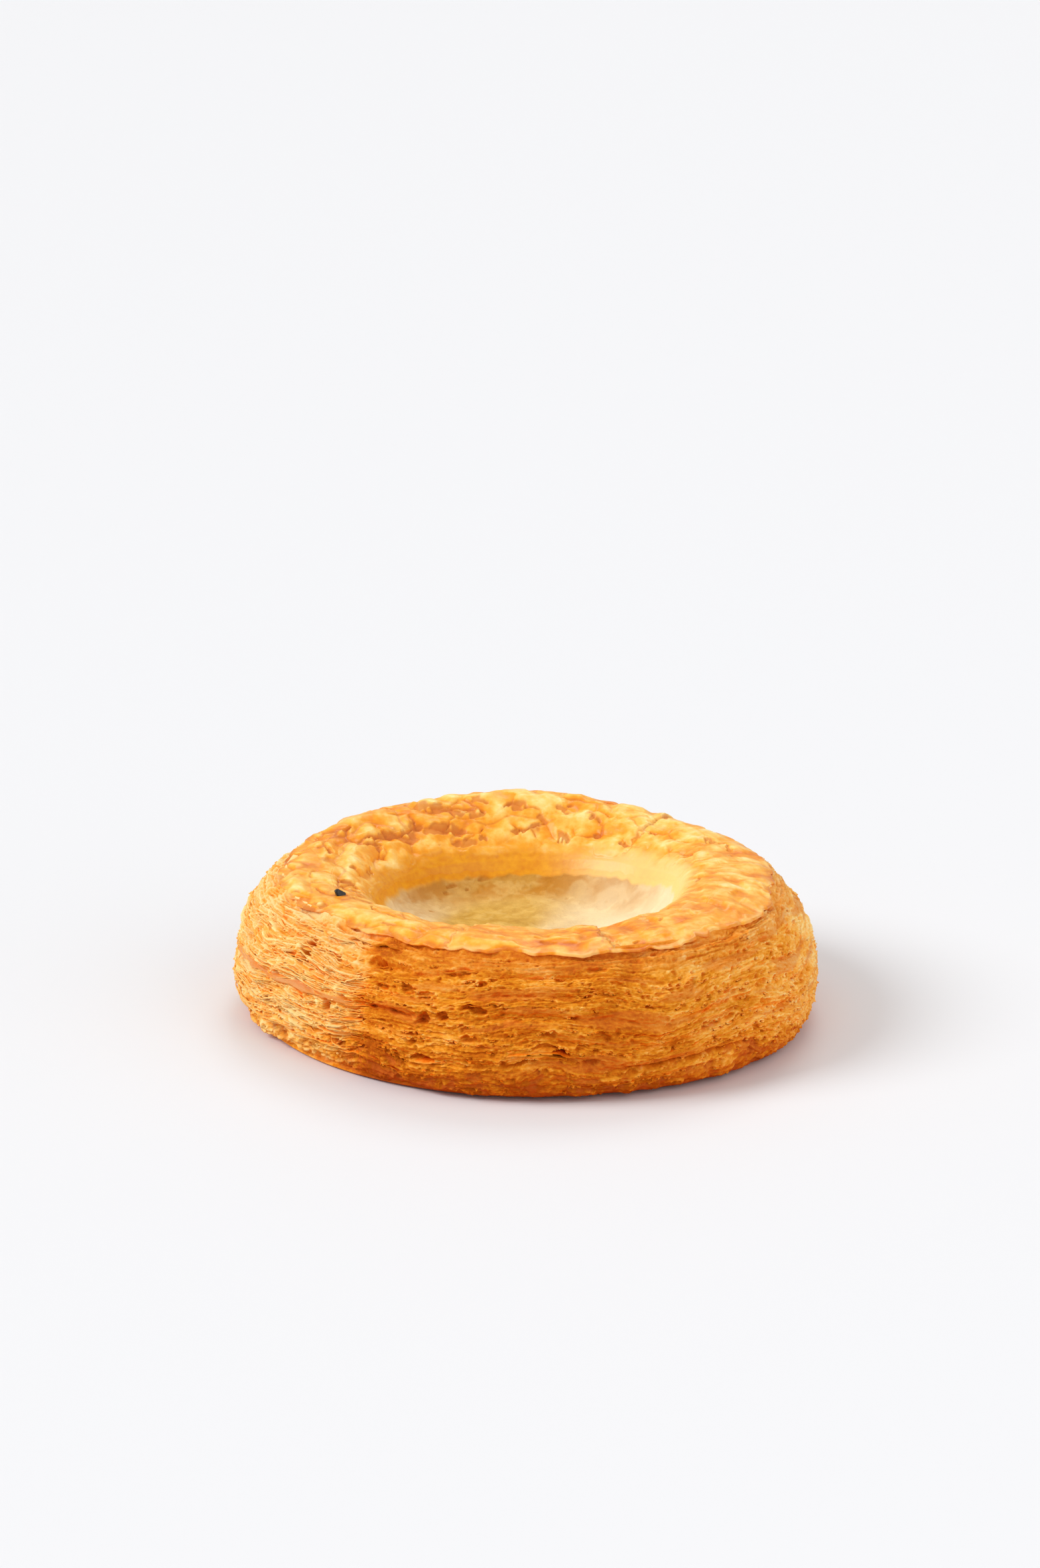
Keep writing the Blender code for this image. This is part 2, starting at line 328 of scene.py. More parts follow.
def foot_middle():
    """The middle of the solid's flat foot, in millimetres: the axis that its section was turned about."""
    foot = [v.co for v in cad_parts[NODE].data.vertices if v.co.z < 0.01 * MM]
    xs = [co.x for co in foot]
    ys = [co.y for co in foot]
    return Vector((max(xs) + min(xs), max(ys) + min(ys), 0.0)) / 2 / MM


AXIS = foot_middle()
BOX_MARGIN = 0.02


def keep_in_box(mesh):
    """Pulls what stands past the solid's box back to it."""
    lowest = Vector(CAD_BOX[0]) / MM + BOX_MARGIN * Vector((1, 1, 0))
    highest = Vector(CAD_BOX[1]) / MM - BOX_MARGIN * Vector((1, 1, 1))
    for vertex in mesh.verts:
        for axis in range(3):
            vertex.co[axis] = min(highest[axis], max(lowest[axis], vertex.co[axis]))


def finish_piece(mesh, name, material):
    """Turns a bmesh in millimetres into a piece of the pastry, smooth shaded, with its place in its mesh.
    The share of each vertex that faces down is kept as "under": the materials paint undersides a deeper
    orange as painted shade, for the shade under them and the light that goes through the dough."""
    bmesh.ops.translate(mesh, vec=AXIS, verts=mesh.verts)
    keep_in_box(mesh)
    painted_shade_layer = mesh.verts.layers.float.new("under")
    mesh.normal_update()
    for vertex in mesh.verts:
        vertex[painted_shade_layer] = ease(-vertex.normal.z, -0.2, 0.8)
    bmesh.ops.scale(mesh, vec=(MM, MM, MM), verts=mesh.verts)
    data = bpy.data.meshes.new(name)
    mesh.to_mesh(data)
    mesh.free()
    data.materials.append(material)
    data.shade_smooth()
    piece = bpy.data.objects.new(name, data)
    bpy.context.scene.collection.objects.link(piece)
    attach(piece, BODY)
    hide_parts(NODE)
    return piece


def spun(points, wedges, wedge_columns, closed):
    """A section of (radius, height) points spun round Z, with each vertex's row kept in a layer.
    One wedge is spun, and is then repeated round the axis."""
    mesh = bmesh.new()
    row_layer = mesh.verts.layers.int.new("row")
    line = []
    for row, point in enumerate(points):
        vertex = mesh.verts.new((point[0], 0.0, point[1]))
        vertex[row_layer] = row
        line.append(vertex)
    pairs = list(zip(line, line[1:]))
    if closed:
        pairs.append((line[-1], line[0]))
    edges = [mesh.edges.new(pair) for pair in pairs]
    wedge = 2 * math.pi / wedges
    turn = {"axis": (0, 0, 1), "cent": (0, 0, 0)}
    bmesh.ops.spin(mesh, geom=line + edges, angle=wedge, steps=wedge_columns, **turn)
    whole = mesh.verts[:] + mesh.edges[:] + mesh.faces[:]
    bmesh.ops.spin(mesh, geom=whole, angle=wedge * (wedges - 1), steps=wedges - 1, use_duplicate=True, **turn)
    bmesh.ops.remove_doubles(mesh, verts=mesh.verts, dist=MERGE_DISTANCE)
    bmesh.ops.recalc_face_normals(mesh, faces=mesh.faces)
    return mesh, row_layer


def column_of(vertex, columns):
    """The column that a vertex of a spun body stands in."""
    step = 360 / columns
    number = round(math.degrees(math.atan2(vertex.co.y, vertex.co.x)) / step) % columns
    return column_at(number * step)


def new_layers(mesh, names):
    return [mesh.verts.layers.float.new(name) for name in names]


def keep(vertex, layers, values):
    for layer, value in zip(layers, values):
        vertex[layer] = value


# --------------------------------------------------------------------------------------------------
# The side wall: thick layers of dough
# --------------------------------------------------------------------------------------------------

# What the material of the layered dough reads at each vertex; deep and high carry painted shade and a painted
# highlight
DOUGH_LOOKS = ("deep", "torn", "brown", "high", "bake", "level")
# Each thick layer is a piece of its own: its name, and the levels of the dough between which it lies
WALL_LAYERS = [
    ("foot_layer", 0.0, 6.5),
    ("lower_wall", 6.5, 13.0),
    ("middle_wall", 13.0, 19.5),
    ("upper_wall", 19.5, RIM_HEIGHT),
]
LAYER_ROWS = 54
WALL_WEDGES = 40
WALL_WEDGE_COLUMNS = 40
# The lowest layer goes on to the axis, along the flat foot and along a hidden top
FOOT_RINGS = [(0.0, 0.0), (16.0, 0.0), (32.0, 0.0)]
FOOT_TOP = [(30.0, 4.0), (0.0, 4.0)]
# A layer runs on past its own levels by the tuck, at a depth where the next layer hides it
TUCK = 0.3
TUCK_SINK = 0.7
HIDDEN_SINK = 3.0
WALL_BOTTOM = 0.06
# Under the crust the wall's top runs on inwards: how far in, and how far down
RIM_SHELF = [(1.2, 0.25), (2.6, 0.6), (4.4, 1.0), (5.0, 6.0)]

# How open the torn layers are: 0 is dense and 1 is open and stringy
OPENNESS = [0.2, 0.3, 0.45, 0.7, 0.95, 1.0, 0.4, 0.25]
OPENNESS_PAST_FOLD = 0.35
# How bubbly the wall is, with small round pores in place of slits
BUBBLES = [1.0, 0.8, 0.5, 0.4, 0.3, 0.25, 0.35, 0.85]
# How dark the wall is baked, from 0 to 1, and how much darker it is past the fold in the front left
BAKE = [0.26, 0.3, 0.32, 0.16, 0.0, 0.07, 0.8, 0.46]
BAKE_PAST_FOLD = 0.6
# How deep the groove under the crust's edge is
EDGE_GROOVE = [0.4, 0.3, 0.3, 0.3, 0.3, 0.6, 0.8, 0.6]
EDGE_GROOVE_LEVEL = 25.1
EDGE_GROOVE_HALF = 0.45
# How much the dough under the crust lies in thin strata
STRATA = [0.9, 0.5, 0.3, 0.2, 0.2, 0.5, 1.0, 1.0]
STRATA_PITCH = 0.62
STRATA_DEPTH = 0.42

# Strands stretched across the open layers, and the cells between them
WEB_PITCH = 1.05
WEB_WAVE = 1.1
CELL_DEPTH = 0.7
# Sheets that drape over each other
LEDGE_PITCH = 1.25
LEDGE_WAVE = 0.9
LEDGE_DEPTH = 0.5
LEDGE_HANG = 0.14
# Slits and pores: their spacing round the pastry and in height, and their depth
SLIT_LENGTH = 4.4
SLIT_HEIGHT = 1.35
SLIT_DEPTH = 1.4
PORE_LENGTH = 1.7
PORE_HEIGHT = 1.2
PORE_DEPTH = 0.85
LIP_RISE = 0.3
FOOT_LUMP = 0.62
UNDERCUT = 0.22
# Creases of the dough, its fibres and its fine grit
CREASE_DEPTH = 0.42
FINE_CREASE_DEPTH = 0.32
FIBRE_DEPTH = 0.08
GRIT_DEPTH = 0.13
WARP_SIZE = 3.4
WARP = 1.1
SMALL_WARP_SIZE = 0.9
SMALL_WARP = 0.38

# Patterns of the wall, as the waves that `pattern` sums
WEB_WANDER = [(WEB_WAVE, 10.0, 4.0, 3.3)]
WEB_SHOWS = [(1.0, 6.0, 1.4, 4.4)]
NET = [(1.0, 3.6, 1.3, 8.8)]
LEDGE_SHOWS = [(1.0, 6.0, 2.6, 17.7)]
LEDGE_WANDER = [(LEDGE_WAVE, 9.0, 5.0, 15.1)]
DENSE_PATCHES = [(1.0, 12.0, 1.6, 52.5)]
LUMPS = [(1.0, 3.0, 2.0, 91.0), (0.5, 1.3, 0.8, 93.0)]
CREASES = [(1.0, 2.0, 0.9, 44.0)]
FINE_CREASES = [(1.0, 0.9, 0.45, 46.0)]
FIBRES = [(1.0, 3.2, 0.42, 61.0), (0.6, 1.1, 0.3, 67.0)]
GRIT = [(1.0, 0.7, 0.55, 73.0)]
SLIT_SHIFT = 21.3
PORE_SHIFT = 33.7
# The mean of a crease's absolute noise
CREASE_MEAN = 0.24

# The crack that frees the lowest layer on the front right
CRACK_START = 286
CRACK_END = 318
CRACK_FADE = 7
CRACK_LEVELS = (7.5, 5.4)
CRACK_HALF = 0.3
CRACK_DEPTH = 1.3
CRACK_ROLL = 0.45

# A band of the wall on the left where the dough stayed whole: angles, height and half height
BAND_START = 186
BAND_END = 233
BAND_HEIGHT = 14.0
BAND_HALF = 0.6

# Single holes of the wall: angle, height, half length, half height and depth
HOLES = [
    (215.3, 20.6, 1.7, 1.6, 2.6),
    (224.7, 12.6, 1.1, 1.0, 2.0),
    (228.2, 6.0, 2.4, 0.7, 1.6),
    (205.0, 9.0, 1.5, 0.7, 1.6),
    (259.6, 17.2, 2.6, 0.6, 1.7),
    (249.5, 14.4, 1.3, 1.0, 1.6),
    (253.3, 15.4, 1.2, 0.8, 1.6),
    (249.8, 7.4, 2.0, 0.7, 1.5),
    (275.9, 9.8, 1.8, 0.6, 1.4),
    (281.5, 7.9, 1.6, 0.6, 1.4),
]


def past_fold(angle):
    """1 in the dense front, which starts at the fold in the front left, and 0 elsewhere."""
    return ease(angle, FOLD_ANGLE - 2, FOLD_ANGLE + 3) * (1 - ease(angle, 268, 300))


def openness_at(angle):
    return blend(by_direction(OPENNESS, angle), OPENNESS_PAST_FOLD, past_fold(angle))


def bake_at(angle):
    return blend(by_direction(BAKE, angle), BAKE_PAST_FOLD, past_fold(angle))


def settled_height(column, level):
    """The height on the turned wall at which a level of the dough comes out, as the layers wander."""
    height = level
    for _ in range(2):
        place = BELLY_RADIUS * column.out + height * UP
        held = ease(height, 0, 5) * (1 - ease(height, 20, RIM_HEIGHT))
        height = level - held * LAYER_WANDER * grain(place, LAYER_LENGTH, LAYER_LENGTH, WANDER_SHIFT)
    return height


class WallPlace:
    """Where a level of the dough comes out of the turned wall in one column, and how it settled there."""

    def __init__(self, column, level):
        self.column = column
        self.level = level
        height = settled_height(column, level)
        point, normal = WALL.at(WALL.distance_at(height))
        self.place = point.x * column.out + height * UP
        self.normal = column.turned(normal)
        spread, lift = settle_wall(column, height)
        self.settled = self.place + spread * column.out + lift * UP
        self.ends = ease(level, 0.3, 1.6) * (1 - ease(level, 25.5, RIM_HEIGHT))
        self.thick = self.thick_layers()

    def thick_layers(self):
        """The relief that the solid has too: the thick layers, coarse crumb and the fold."""
        off_middle = abs(2 * (self.level / LAYER_PITCH % 1) - 1)
        shows = ease(grain(self.place, LAYER_LENGTH, LAYER_PITCH, LAYER_SHIFT), -0.3, 0.25)
        layers = self.column.layer_depth * shows * (0.4 - off_middle**2)
        crumb = CRUMB_DEPTH * grain(self.place, CRUMB_LENGTH, CRUMB_PITCH, CRUMB_SHIFT)
        middle = ease(self.level, 4, 8) * (1 - ease(self.level, 20, 24))
        return (layers + crumb) * self.ends - FOLD_DEPTH * self.column.fold * middle


def holes_at(angle, height):
    """How deep the single holes are at a place."""
    deepest = 0.0
    for hole_angle, hole_height, half_length, half_height, depth in HOLES:
        across = math.radians(turn_between(angle, hole_angle)) * BELLY_RADIUS / half_length
        if abs(across) < 1.5:
            off = math.hypot(across, (height - hole_height) / half_height)
            deepest = max(deepest, depth * (1 - ease(off, 0.75, 1.1)))
    return deepest


def stretched_web(calm, at):
    """How much a place is a strand of the open layers, from 0 to 1. Long strands run along the layers, finer
    ones lie between them, and a net of stretched cells crosses them."""
    line = calm.z / WEB_PITCH + pattern(calm, WEB_WANDER)
    coarse = ease(abs(2 * (line % 1) - 1), 0.5, 0.95) * ease(pattern(calm, WEB_SHOWS), -0.3, 0.1)
    fine = 0.65 * ease(abs(2 * (2.3 * line % 1) - 1), 0.35, 0.95)
    net = 1 - abs(pattern(at, NET)) / 0.15
    return max(0.0, coarse, fine, 0.9 * net)


def draped_ledge(at, pitch):
    """The relief of sheets that drape over each other, and how near the hanging edge of one is."""
    strength = ease(pattern(at, LEDGE_SHOWS), -0.3, 0.3)
    part = (at.z / pitch + pattern(at, LEDGE_WANDER)) % 1
    return strength * (0.5 - part), strength * (1 - ease(part, 0.08, 0.24))


def voids_at(at, bubbles):
    """How much a place is in a slit or a pore, and how much it is in the raised lip over one."""
    distance, above, own = scatter(at, SLIT_LENGTH, SLIT_HEIGHT, SLIT_SHIFT)
    size = blend(0.04, 0.48, own)
    slits = 1 - 0.6 * bubbles
    slit = (1 - ease(distance, 0.6 * size, size)) * min(1.0, size / 0.38) * slits
    lip = bump(distance, size + 0.06, 0.06) * ease(above, 0.0, 0.5 * size) * slits
    distance, above, own = scatter(at, PORE_LENGTH, PORE_HEIGHT, PORE_SHIFT)
    size = blend(0.12, 0.5, own)
    pores = blend(0.25, 1.0, bubbles)
    pore = (1 - ease(distance, 0.5 * size, size)) * min(1.0, size / 0.4) * pores
    lip = max(lip, bump(distance, size + 0.07, 0.08) * ease(above, 0.0, 0.5 * size) * pores)
    return slit, pore, lip


def wall_look(spot):
    """The fine relief at a place of the wall, how far its dough is pulled up, and its looks: how deep,
    torn, brown and high it is. The material paints deep places darker and more orange as shade, and high
    places paler as a highlight."""
    column = spot.column
    layered = Vector((spot.place.x, spot.place.y, spot.level))
    warp = WARP * noise.noise_vector(layered / WARP_SIZE)
    ragged = SMALL_WARP * noise.noise_vector(layered / SMALL_WARP_SIZE)
    calm = layered + Vector((0.4 * warp.x, 0.4 * warp.y, 0.3 * warp.z))
    at = layered + Vector((warp.x + ragged.x, warp.y + ragged.y, 0.55 * warp.z + 0.7 * ragged.z))
    openness = column.openness
    strata = column.strata * ease(spot.level + 0.5 * warp.z, 22.0, 23.6)
    off_band = abs(spot.place.z + 0.5 * warp.z - BAND_HEIGHT)
    band = column.band * (1 - ease(off_band, 0.6 * BAND_HALF, BAND_HALF))
    foot = 1 - ease(spot.level + 0.5 * warp.z, 5.0, 7.4)
    dense = ease(pattern(at, DENSE_PATCHES), 0.1, 0.34) * (1 - 0.75 * openness) * (1 - 0.7 * foot)
    rough = spot.ends * (1 - band) * (1 - 0.65 * dense) * (1 - 0.3 * strata)
    lump = pattern(at, LUMPS)

    cell = openness * (1 - stretched_web(calm, calm + 0.5 * ragged))
    ledge, hanging = draped_ledge(at, LEDGE_PITCH)
    thin, thin_edge = draped_ledge(calm, STRATA_PITCH)
    slit, pore, lip = voids_at(at, column.bubbles)
    slit *= 1 - 0.4 * openness
    lip *= 1 - 0.6 * openness
    crease = abs(pattern(at, CREASES)) - CREASE_MEAN
    fine_crease = abs(pattern(at, FINE_CREASES)) - CREASE_MEAN
    hole = holes_at(column.angle, spot.place.z + 0.6 * warp.z + ragged.z)
    past_crack = spot.level + 0.25 * warp.z + 0.4 * ragged.z - column.crack_level
    crack = column.crack * bump(past_crack, 0.0, CRACK_HALF)
    roll = CRACK_ROLL * column.crack * bump(past_crack, -1.3, 0.8)
    groove = column.groove * bump(spot.level, EDGE_GROOVE_LEVEL, EDGE_GROOVE_HALF)

    voids = rough * (SLIT_DEPTH * slit + PORE_DEPTH * pore) + spot.ends * hole + CRACK_DEPTH * crack
    fine = CREASE_DEPTH * crease + FINE_CREASE_DEPTH * fine_crease
    fine += FIBRE_DEPTH * pattern(at, FIBRES) + GRIT_DEPTH * pattern(at, GRIT)
    fine *= 1 - 0.55 * openness
    ledge *= LEDGE_DEPTH * (1 - 0.6 * openness) * (1 - 0.7 * column.bubbles)
    lumps = FOOT_LUMP * (1 - openness) * foot * lump
    raised = LIP_RISE * (1 - 0.35 * column.bubbles) * lip
    surface = rough * (raised + ledge - CELL_DEPTH * cell)
    surface += roll + spot.ends * (lumps + STRATA_DEPTH * strata * thin)
    relief = surface + blend(0.35, 1.0, rough) * spot.ends * fine - voids - groove - 0.1
    hanging *= (1 - 0.7 * column.bubbles) * (1 - 0.8 * openness)
    pulled_up = UNDERCUT * (voids - 0.5 * CRACK_DEPTH * crack) - LEDGE_HANG * rough * hanging
    # deep is painted shade in the material: cells, slits, pores, holes and the crack are coloured darker and
    # more orange
    deep = min(1.0, 0.7 * rough * cell + 0.85 * rough * max(slit, pore) + 0.5 * hole + crack)
    torn = rough * (lip + 0.6 * hanging + 0.3 * openness * (1 - cell)) + 0.25 * strata * thin_edge
    torn = min(1.0, torn)
    # high is a painted highlight in the material: raised places are coloured paler and low ones darker
    high = min(1.0, max(0.0, 0.5 + 1.2 * (surface + fine)))
    crumbly = 0.7 * foot * ease(-lump, 0.05, 0.3)
    brown = max(0.8 * dense, band, crumbly, 0.5 * strata * (1 - thin_edge))
    return relief, pulled_up, (deep, torn, brown, high)


def wall_point(column, level):
    """The finished surface of the wall: the point, the place it was worked out from, and its looks."""
    spot = WallPlace(column, level)
    relief, pulled_up, looks = wall_look(spot)
    point = spot.settled + spot.normal * (spot.thick + relief) + UP * pulled_up
    return point, spot, looks


def wall_profile(low, high):
    """The rows of a thick layer: a point to spin, the level it shows, and how far under the surface it lies,
    or "shelf" for the wall's top under the crust. A row without a level stays where it is spun."""
    start, end = WALL.distance_at(low), WALL.distance_at(high)
    shown = []
    for row in range(LAYER_ROWS + 1):
        point, _normal = WALL.at(blend(start, end, row / LAYER_ROWS))
        shown.append((point, point.y, 0.0))
    hidden_low = Vector((shown[0][0].x - HIDDEN_SINK, low))
    hidden_high = Vector((shown[-1][0].x - HIDDEN_SINK, high))
    if low == 0:
        before = [(Vector(point), None, 0.0) for point in FOOT_RINGS]
    else:
        tucked = Vector((shown[0][0].x - TUCK_SINK, low - TUCK))
        before = [(hidden_low, low, HIDDEN_SINK), (tucked, low - TUCK, TUCK_SINK)]
    if high == RIM_HEIGHT:
        inner = [RIM_RADIUS - inwards for inwards, _drop in RIM_SHELF]
        after = [(Vector((radius, RIM_HEIGHT)), RIM_HEIGHT, "shelf") for radius in inner]
    else:
        tucked = Vector((shown[-1][0].x - TUCK_SINK, high + TUCK))
        after = [(tucked, high + TUCK, TUCK_SINK), (hidden_high, high, HIDDEN_SINK)]
    if low == 0:
        after += [(Vector(point), None, 0.0) for point in FOOT_TOP]
    return before + shown + after


def make_wall_layer(name, low, high, material):
    profile = wall_profile(low, high)
    points = [point for point, _level, _sink in profile]
    mesh, row_layer = spun(points, WALL_WEDGES, WALL_WEDGE_COLUMNS, closed=low > 0)
    layers = new_layers(mesh, DOUGH_LOOKS)
    for vertex in mesh.verts:
        _point, level, sink = profile[vertex[row_layer]]
        if level is None or level <= 0:
            continue
        column = column_of(vertex, WALL_WEDGES * WALL_WEDGE_COLUMNS)
        if sink in (HIDDEN_SINK, "shelf"):
            spot = WallPlace(column, level)
            vertex.co = spot.settled - spot.normal * HIDDEN_SINK
            if sink == "shelf":
                inwards, drop = RIM_SHELF[vertex[row_layer] - len(profile)]
                vertex.co = spot.settled - inwards * column.out - drop * UP
            keep(vertex, layers, (0.6, 0.0, 0.0, 0.4, column.bake, level))
            continue
        point, spot, looks = wall_point(column, level)
        vertex.co = point - spot.normal * sink
        vertex.co.z = max(vertex.co.z, WALL_BOTTOM)
        keep(vertex, layers, (*looks, column.bake, level))
    return finish_piece(mesh, name, material)


# --------------------------------------------------------------------------------------------------
# What stands out of the wall: thin sheets, strands, flakes and crumbs
# --------------------------------------------------------------------------------------------------

# Copies are made round a circle so wide that the angle alone tells them apart
REPEAT_RADIUS = 20000.0
# None of these pieces comes nearer the floor than this
LOOSE_BOTTOM = 0.1


def repeated(mesh, groups, in_group):
    """Repeats a small shape. Yields each vertex with its copy's number and its own place in the shape."""
    shape = new_layers(mesh, ("shape_x", "shape_y", "shape_z"))
    for vertex in mesh.verts:
        keep(vertex, shape, vertex.co)
    bmesh.ops.translate(mesh, vec=(REPEAT_RADIUS, 0, 0), verts=mesh.verts)
    slot = 2 * math.pi / (groups * in_group)
    turn = {"axis": (0, 0, 1), "cent": (0, 0, 0), "use_duplicate": True}
    whole = mesh.verts[:] + mesh.edges[:] + mesh.faces[:]
    bmesh.ops.spin(mesh, geom=whole, angle=slot * (in_group - 1), steps=in_group - 1, **turn)
    whole = mesh.verts[:] + mesh.edges[:] + mesh.faces[:]
    bmesh.ops.spin(mesh, geom=whole, angle=slot * in_group * (groups - 1), steps=groups - 1, **turn)
    placed = []
    for vertex in mesh.verts:
        number = round(math.atan2(vertex.co.y, vertex.co.x) / slot) % (groups * in_group)
        placed.append((vertex, number, Vector([vertex[layer] for layer in shape])))
    return placed


def thin_grid(along, out):
    """A flat closed slab to be bent into shape: 2 long from -1 to 1, 1 wide from 0 to 1, about 1 thick."""
    mesh = bmesh.new()
    bmesh.ops.create_grid(mesh, x_segments=along, y_segments=out, size=1.0)
    bmesh.ops.scale(mesh, vec=(1.0, 0.5, 1.0), verts=mesh.verts)
    bmesh.ops.translate(mesh, vec=(0.0, 0.5, 0.5), verts=mesh.verts)
    bmesh.ops.solidify(mesh, geom=mesh.faces[:], thickness=1.0)
    bmesh.ops.recalc_face_normals(mesh, faces=mesh.faces)
    return mesh


# Thin sheets that stand out of the wall as torn ledges
SHEET_GROUPS = 14
SHEETS_IN_GROUP = 15
SHEET_COLUMNS = 30
SHEET_ROWS = 4
SHEET_ROOT = 1.8
SHEET_THICKNESS = 0.2
# Sheets with a place of their own: angle, level, half length in degrees, reach and droop
NAMED_SHEETS = [
    (232, 24.4, 8, 0.9, 0.3),
    (222, 23.8, 9, 0.8, 0.2),
    (272, 9.6, 7, 0.6, -0.7),
]


def pick_sheets(draw):
    """Each sheet as (angle, level, half length in degrees, reach, droop, slope, seed). Most of them are where
    the wall is open."""
    sheets = [(*named, 0.0, draw.uniform(0, 90)) for named in NAMED_SHEETS]
    while len(sheets) < SHEET_GROUPS * SHEETS_IN_GROUP:
        angle = draw.uniform(0, 360)
        level = draw.uniform(2.5, 24.6)
        openness = column_at(angle).openness
        if draw.random() > 0.12 + 0.88 * openness or (level < 7 and draw.random() < 0.5):
            continue
        half_length = math.degrees(draw.uniform(2.0, 4 + 5 * openness) / BELLY_RADIUS)
        reach = draw.uniform(-0.35, 0.0) + 0.2 * openness * draw.random()
        droop = draw.uniform(-0.5, 0.4)
        slope = draw.uniform(-0.8, 0.8) * openness
        sheets.append((angle, level, half_length, reach, droop, slope, draw.uniform(0, 90)))
    return sheets


def sheet_reach(sheet, along):
    """How far a sheet's ragged edge stands out of the wall at a place along it."""
    _angle, _level, half_length, reach, _droop, _slope, seed = sheet
    length = math.radians(along * half_length) * BELLY_RADIUS
    ragged = 0.5 * noise.noise(Vector((length / 2.4, seed, 0.0)))
    ragged += 0.25 * noise.noise(Vector((length / 0.9, seed, 5.0)))
    ragged += 0.15 * noise.noise(Vector((length / 0.4, seed, 9.0)))
    return blend(-0.7, reach + ragged, 1 - along**4)


def make_sheets(material):
    sheets = pick_sheets(random.Random(11))
    mesh = thin_grid(SHEET_COLUMNS, SHEET_ROWS)
    layers = new_layers(mesh, DOUGH_LOOKS)
    spots = {}
    for vertex, number, shape in repeated(mesh, SHEET_GROUPS, SHEETS_IN_GROUP):
        sheet = sheets[number]
        angle, level, half_length, _reach, droop, slope, seed = sheet
        key = (number, round(shape.x, 3))
        if key not in spots:
            column = column_at(angle + shape.x * half_length)
            drift = 0.4 * noise.noise(Vector((shape.x * half_length / 3, seed, 2.0)))
            own_level = min(25.7, max(1.0, level + slope * shape.x + drift))
            spot = WallPlace(column, own_level)
            spots[key] = (spot, sheet_reach(sheet, shape.x))
        spot, reach = spots[key]
        out = blend(-SHEET_ROOT, reach + spot.thick, shape.y)
        thickness = SHEET_THICKNESS * blend(1.0, 0.35, shape.y**2) * (shape.z - 0.5)
        lean = spot.column.out.lerp(spot.normal, 0.5).normalized()
        vertex.co = spot.settled + lean * out + UP * (thickness + droop * shape.y**2)
        vertex.co.z = max(LOOSE_BOTTOM, vertex.co.z)
        edge = ease(shape.y, 0.5, 1.0)
        # Painted shade: a sheet is deep where it goes into the wall, so its root is coloured darker
        keep(vertex, layers, (0.4 * (1 - edge), 0.25 * edge, 0.0, 0.5, spot.column.bake, spot.level))
    return finish_piece(mesh, "torn_sheets", material)


# Strands of dough stretched across the open layers
STRAND_GROUPS = 16
STRANDS_IN_GROUP = 16
STRAND_CUTS = 15


def pick_strands(draw):
    """Each strand as (angle, level, half length in degrees, rise, height over the wall, thickness, seed)."""
    strands = []
    while len(strands) < STRAND_GROUPS * STRANDS_IN_GROUP:
        angle = draw.uniform(90, 240)
        level = draw.uniform(4.0, 24.8)
        openness = column_at(angle).openness
        if draw.random() > openness**3 or column_at(angle).band * bump(level, BAND_HEIGHT, 1.2) > 0.4:
            continue
        half_length = math.degrees(draw.uniform(2.0, 7.0) / BELLY_RADIUS)
        rise = draw.uniform(-0.5, 0.5) if draw.random() < 0.7 else draw.uniform(-1.6, 1.6)
        over = draw.uniform(-0.55, -0.12)
        strands.append((angle, level, half_length, rise, over, draw.uniform(0.08, 0.16), draw.uniform(0, 90)))
    return strands


def make_strands(material):
    strands = pick_strands(random.Random(23))
    mesh = bmesh.new()
    bmesh.ops.create_cube(mesh, size=2.0)
    long_edges = [edge for edge in mesh.edges if abs(edge.verts[0].co.x - edge.verts[1].co.x) > 1]
    bmesh.ops.subdivide_edges(mesh, edges=long_edges, cuts=STRAND_CUTS, use_grid_fill=True)
    layers = new_layers(mesh, DOUGH_LOOKS)
    for vertex, number, shape in repeated(mesh, STRAND_GROUPS, STRANDS_IN_GROUP):
        angle, level, half_length, rise, over, thickness, seed = strands[number]
        column = column_at(round(angle + shape.x * half_length, 3))
        wave = 0.3 * noise.noise(Vector((shape.x * half_length / 1.5, seed, 3.0)))
        spot = WallPlace(column, min(25.6, max(1.0, level + rise * shape.x + wave)))
        arch = blend(-0.9, over, 1 - shape.x**4) + 0.25 * noise.noise(Vector((shape.x * 2, seed, 7.0)))
        round_off = thickness * (1 - 0.6 * shape.x**2)
        height = UP * (shape.z * round_off)
        vertex.co = spot.settled + spot.normal * (spot.thick + arch + shape.y * round_off) + height
        # Painted shade: a strand's ends, where it goes into the wall, are deep and coloured darker
        keep(vertex, layers, (0.4 * ease(abs(shape.x), 0.6, 1.0), 0.1, 0.0, 0.5, column.bake, level))
    return finish_piece(mesh, "stretched_strands", material)


# Flakes on the upper lips of the slits and pores
FLAKE_GROUPS = 50
FLAKES_IN_GROUP = 56


def pick_flakes(draw):
    """Each flake as (point, spot, half width, reach, curl, thickness, seed). Places are tried until one is a
    lip."""
    flakes = []
    while len(flakes) < FLAKE_GROUPS * FLAKES_IN_GROUP:
        column = column_at(round(draw.uniform(0, 360), 2))
        level = draw.uniform(2.5, 25.0)
        point, spot, (_deep, torn, brown, _high) = wall_point(column, level)
        if torn < 0.5 or brown > 0.5 or draw.random() < 0.7 * column.openness:
            continue
        width = draw.uniform(0.2, 0.6)
        reach = draw.uniform(0.08, 0.3) * blend(1.0, 0.4, max(column.bubbles, column.openness))
        curl = draw.uniform(-1.8, 0.2)
        flakes.append((point, spot, width, reach, curl, draw.uniform(0.05, 0.1), draw.uniform(0, 90)))
    return flakes


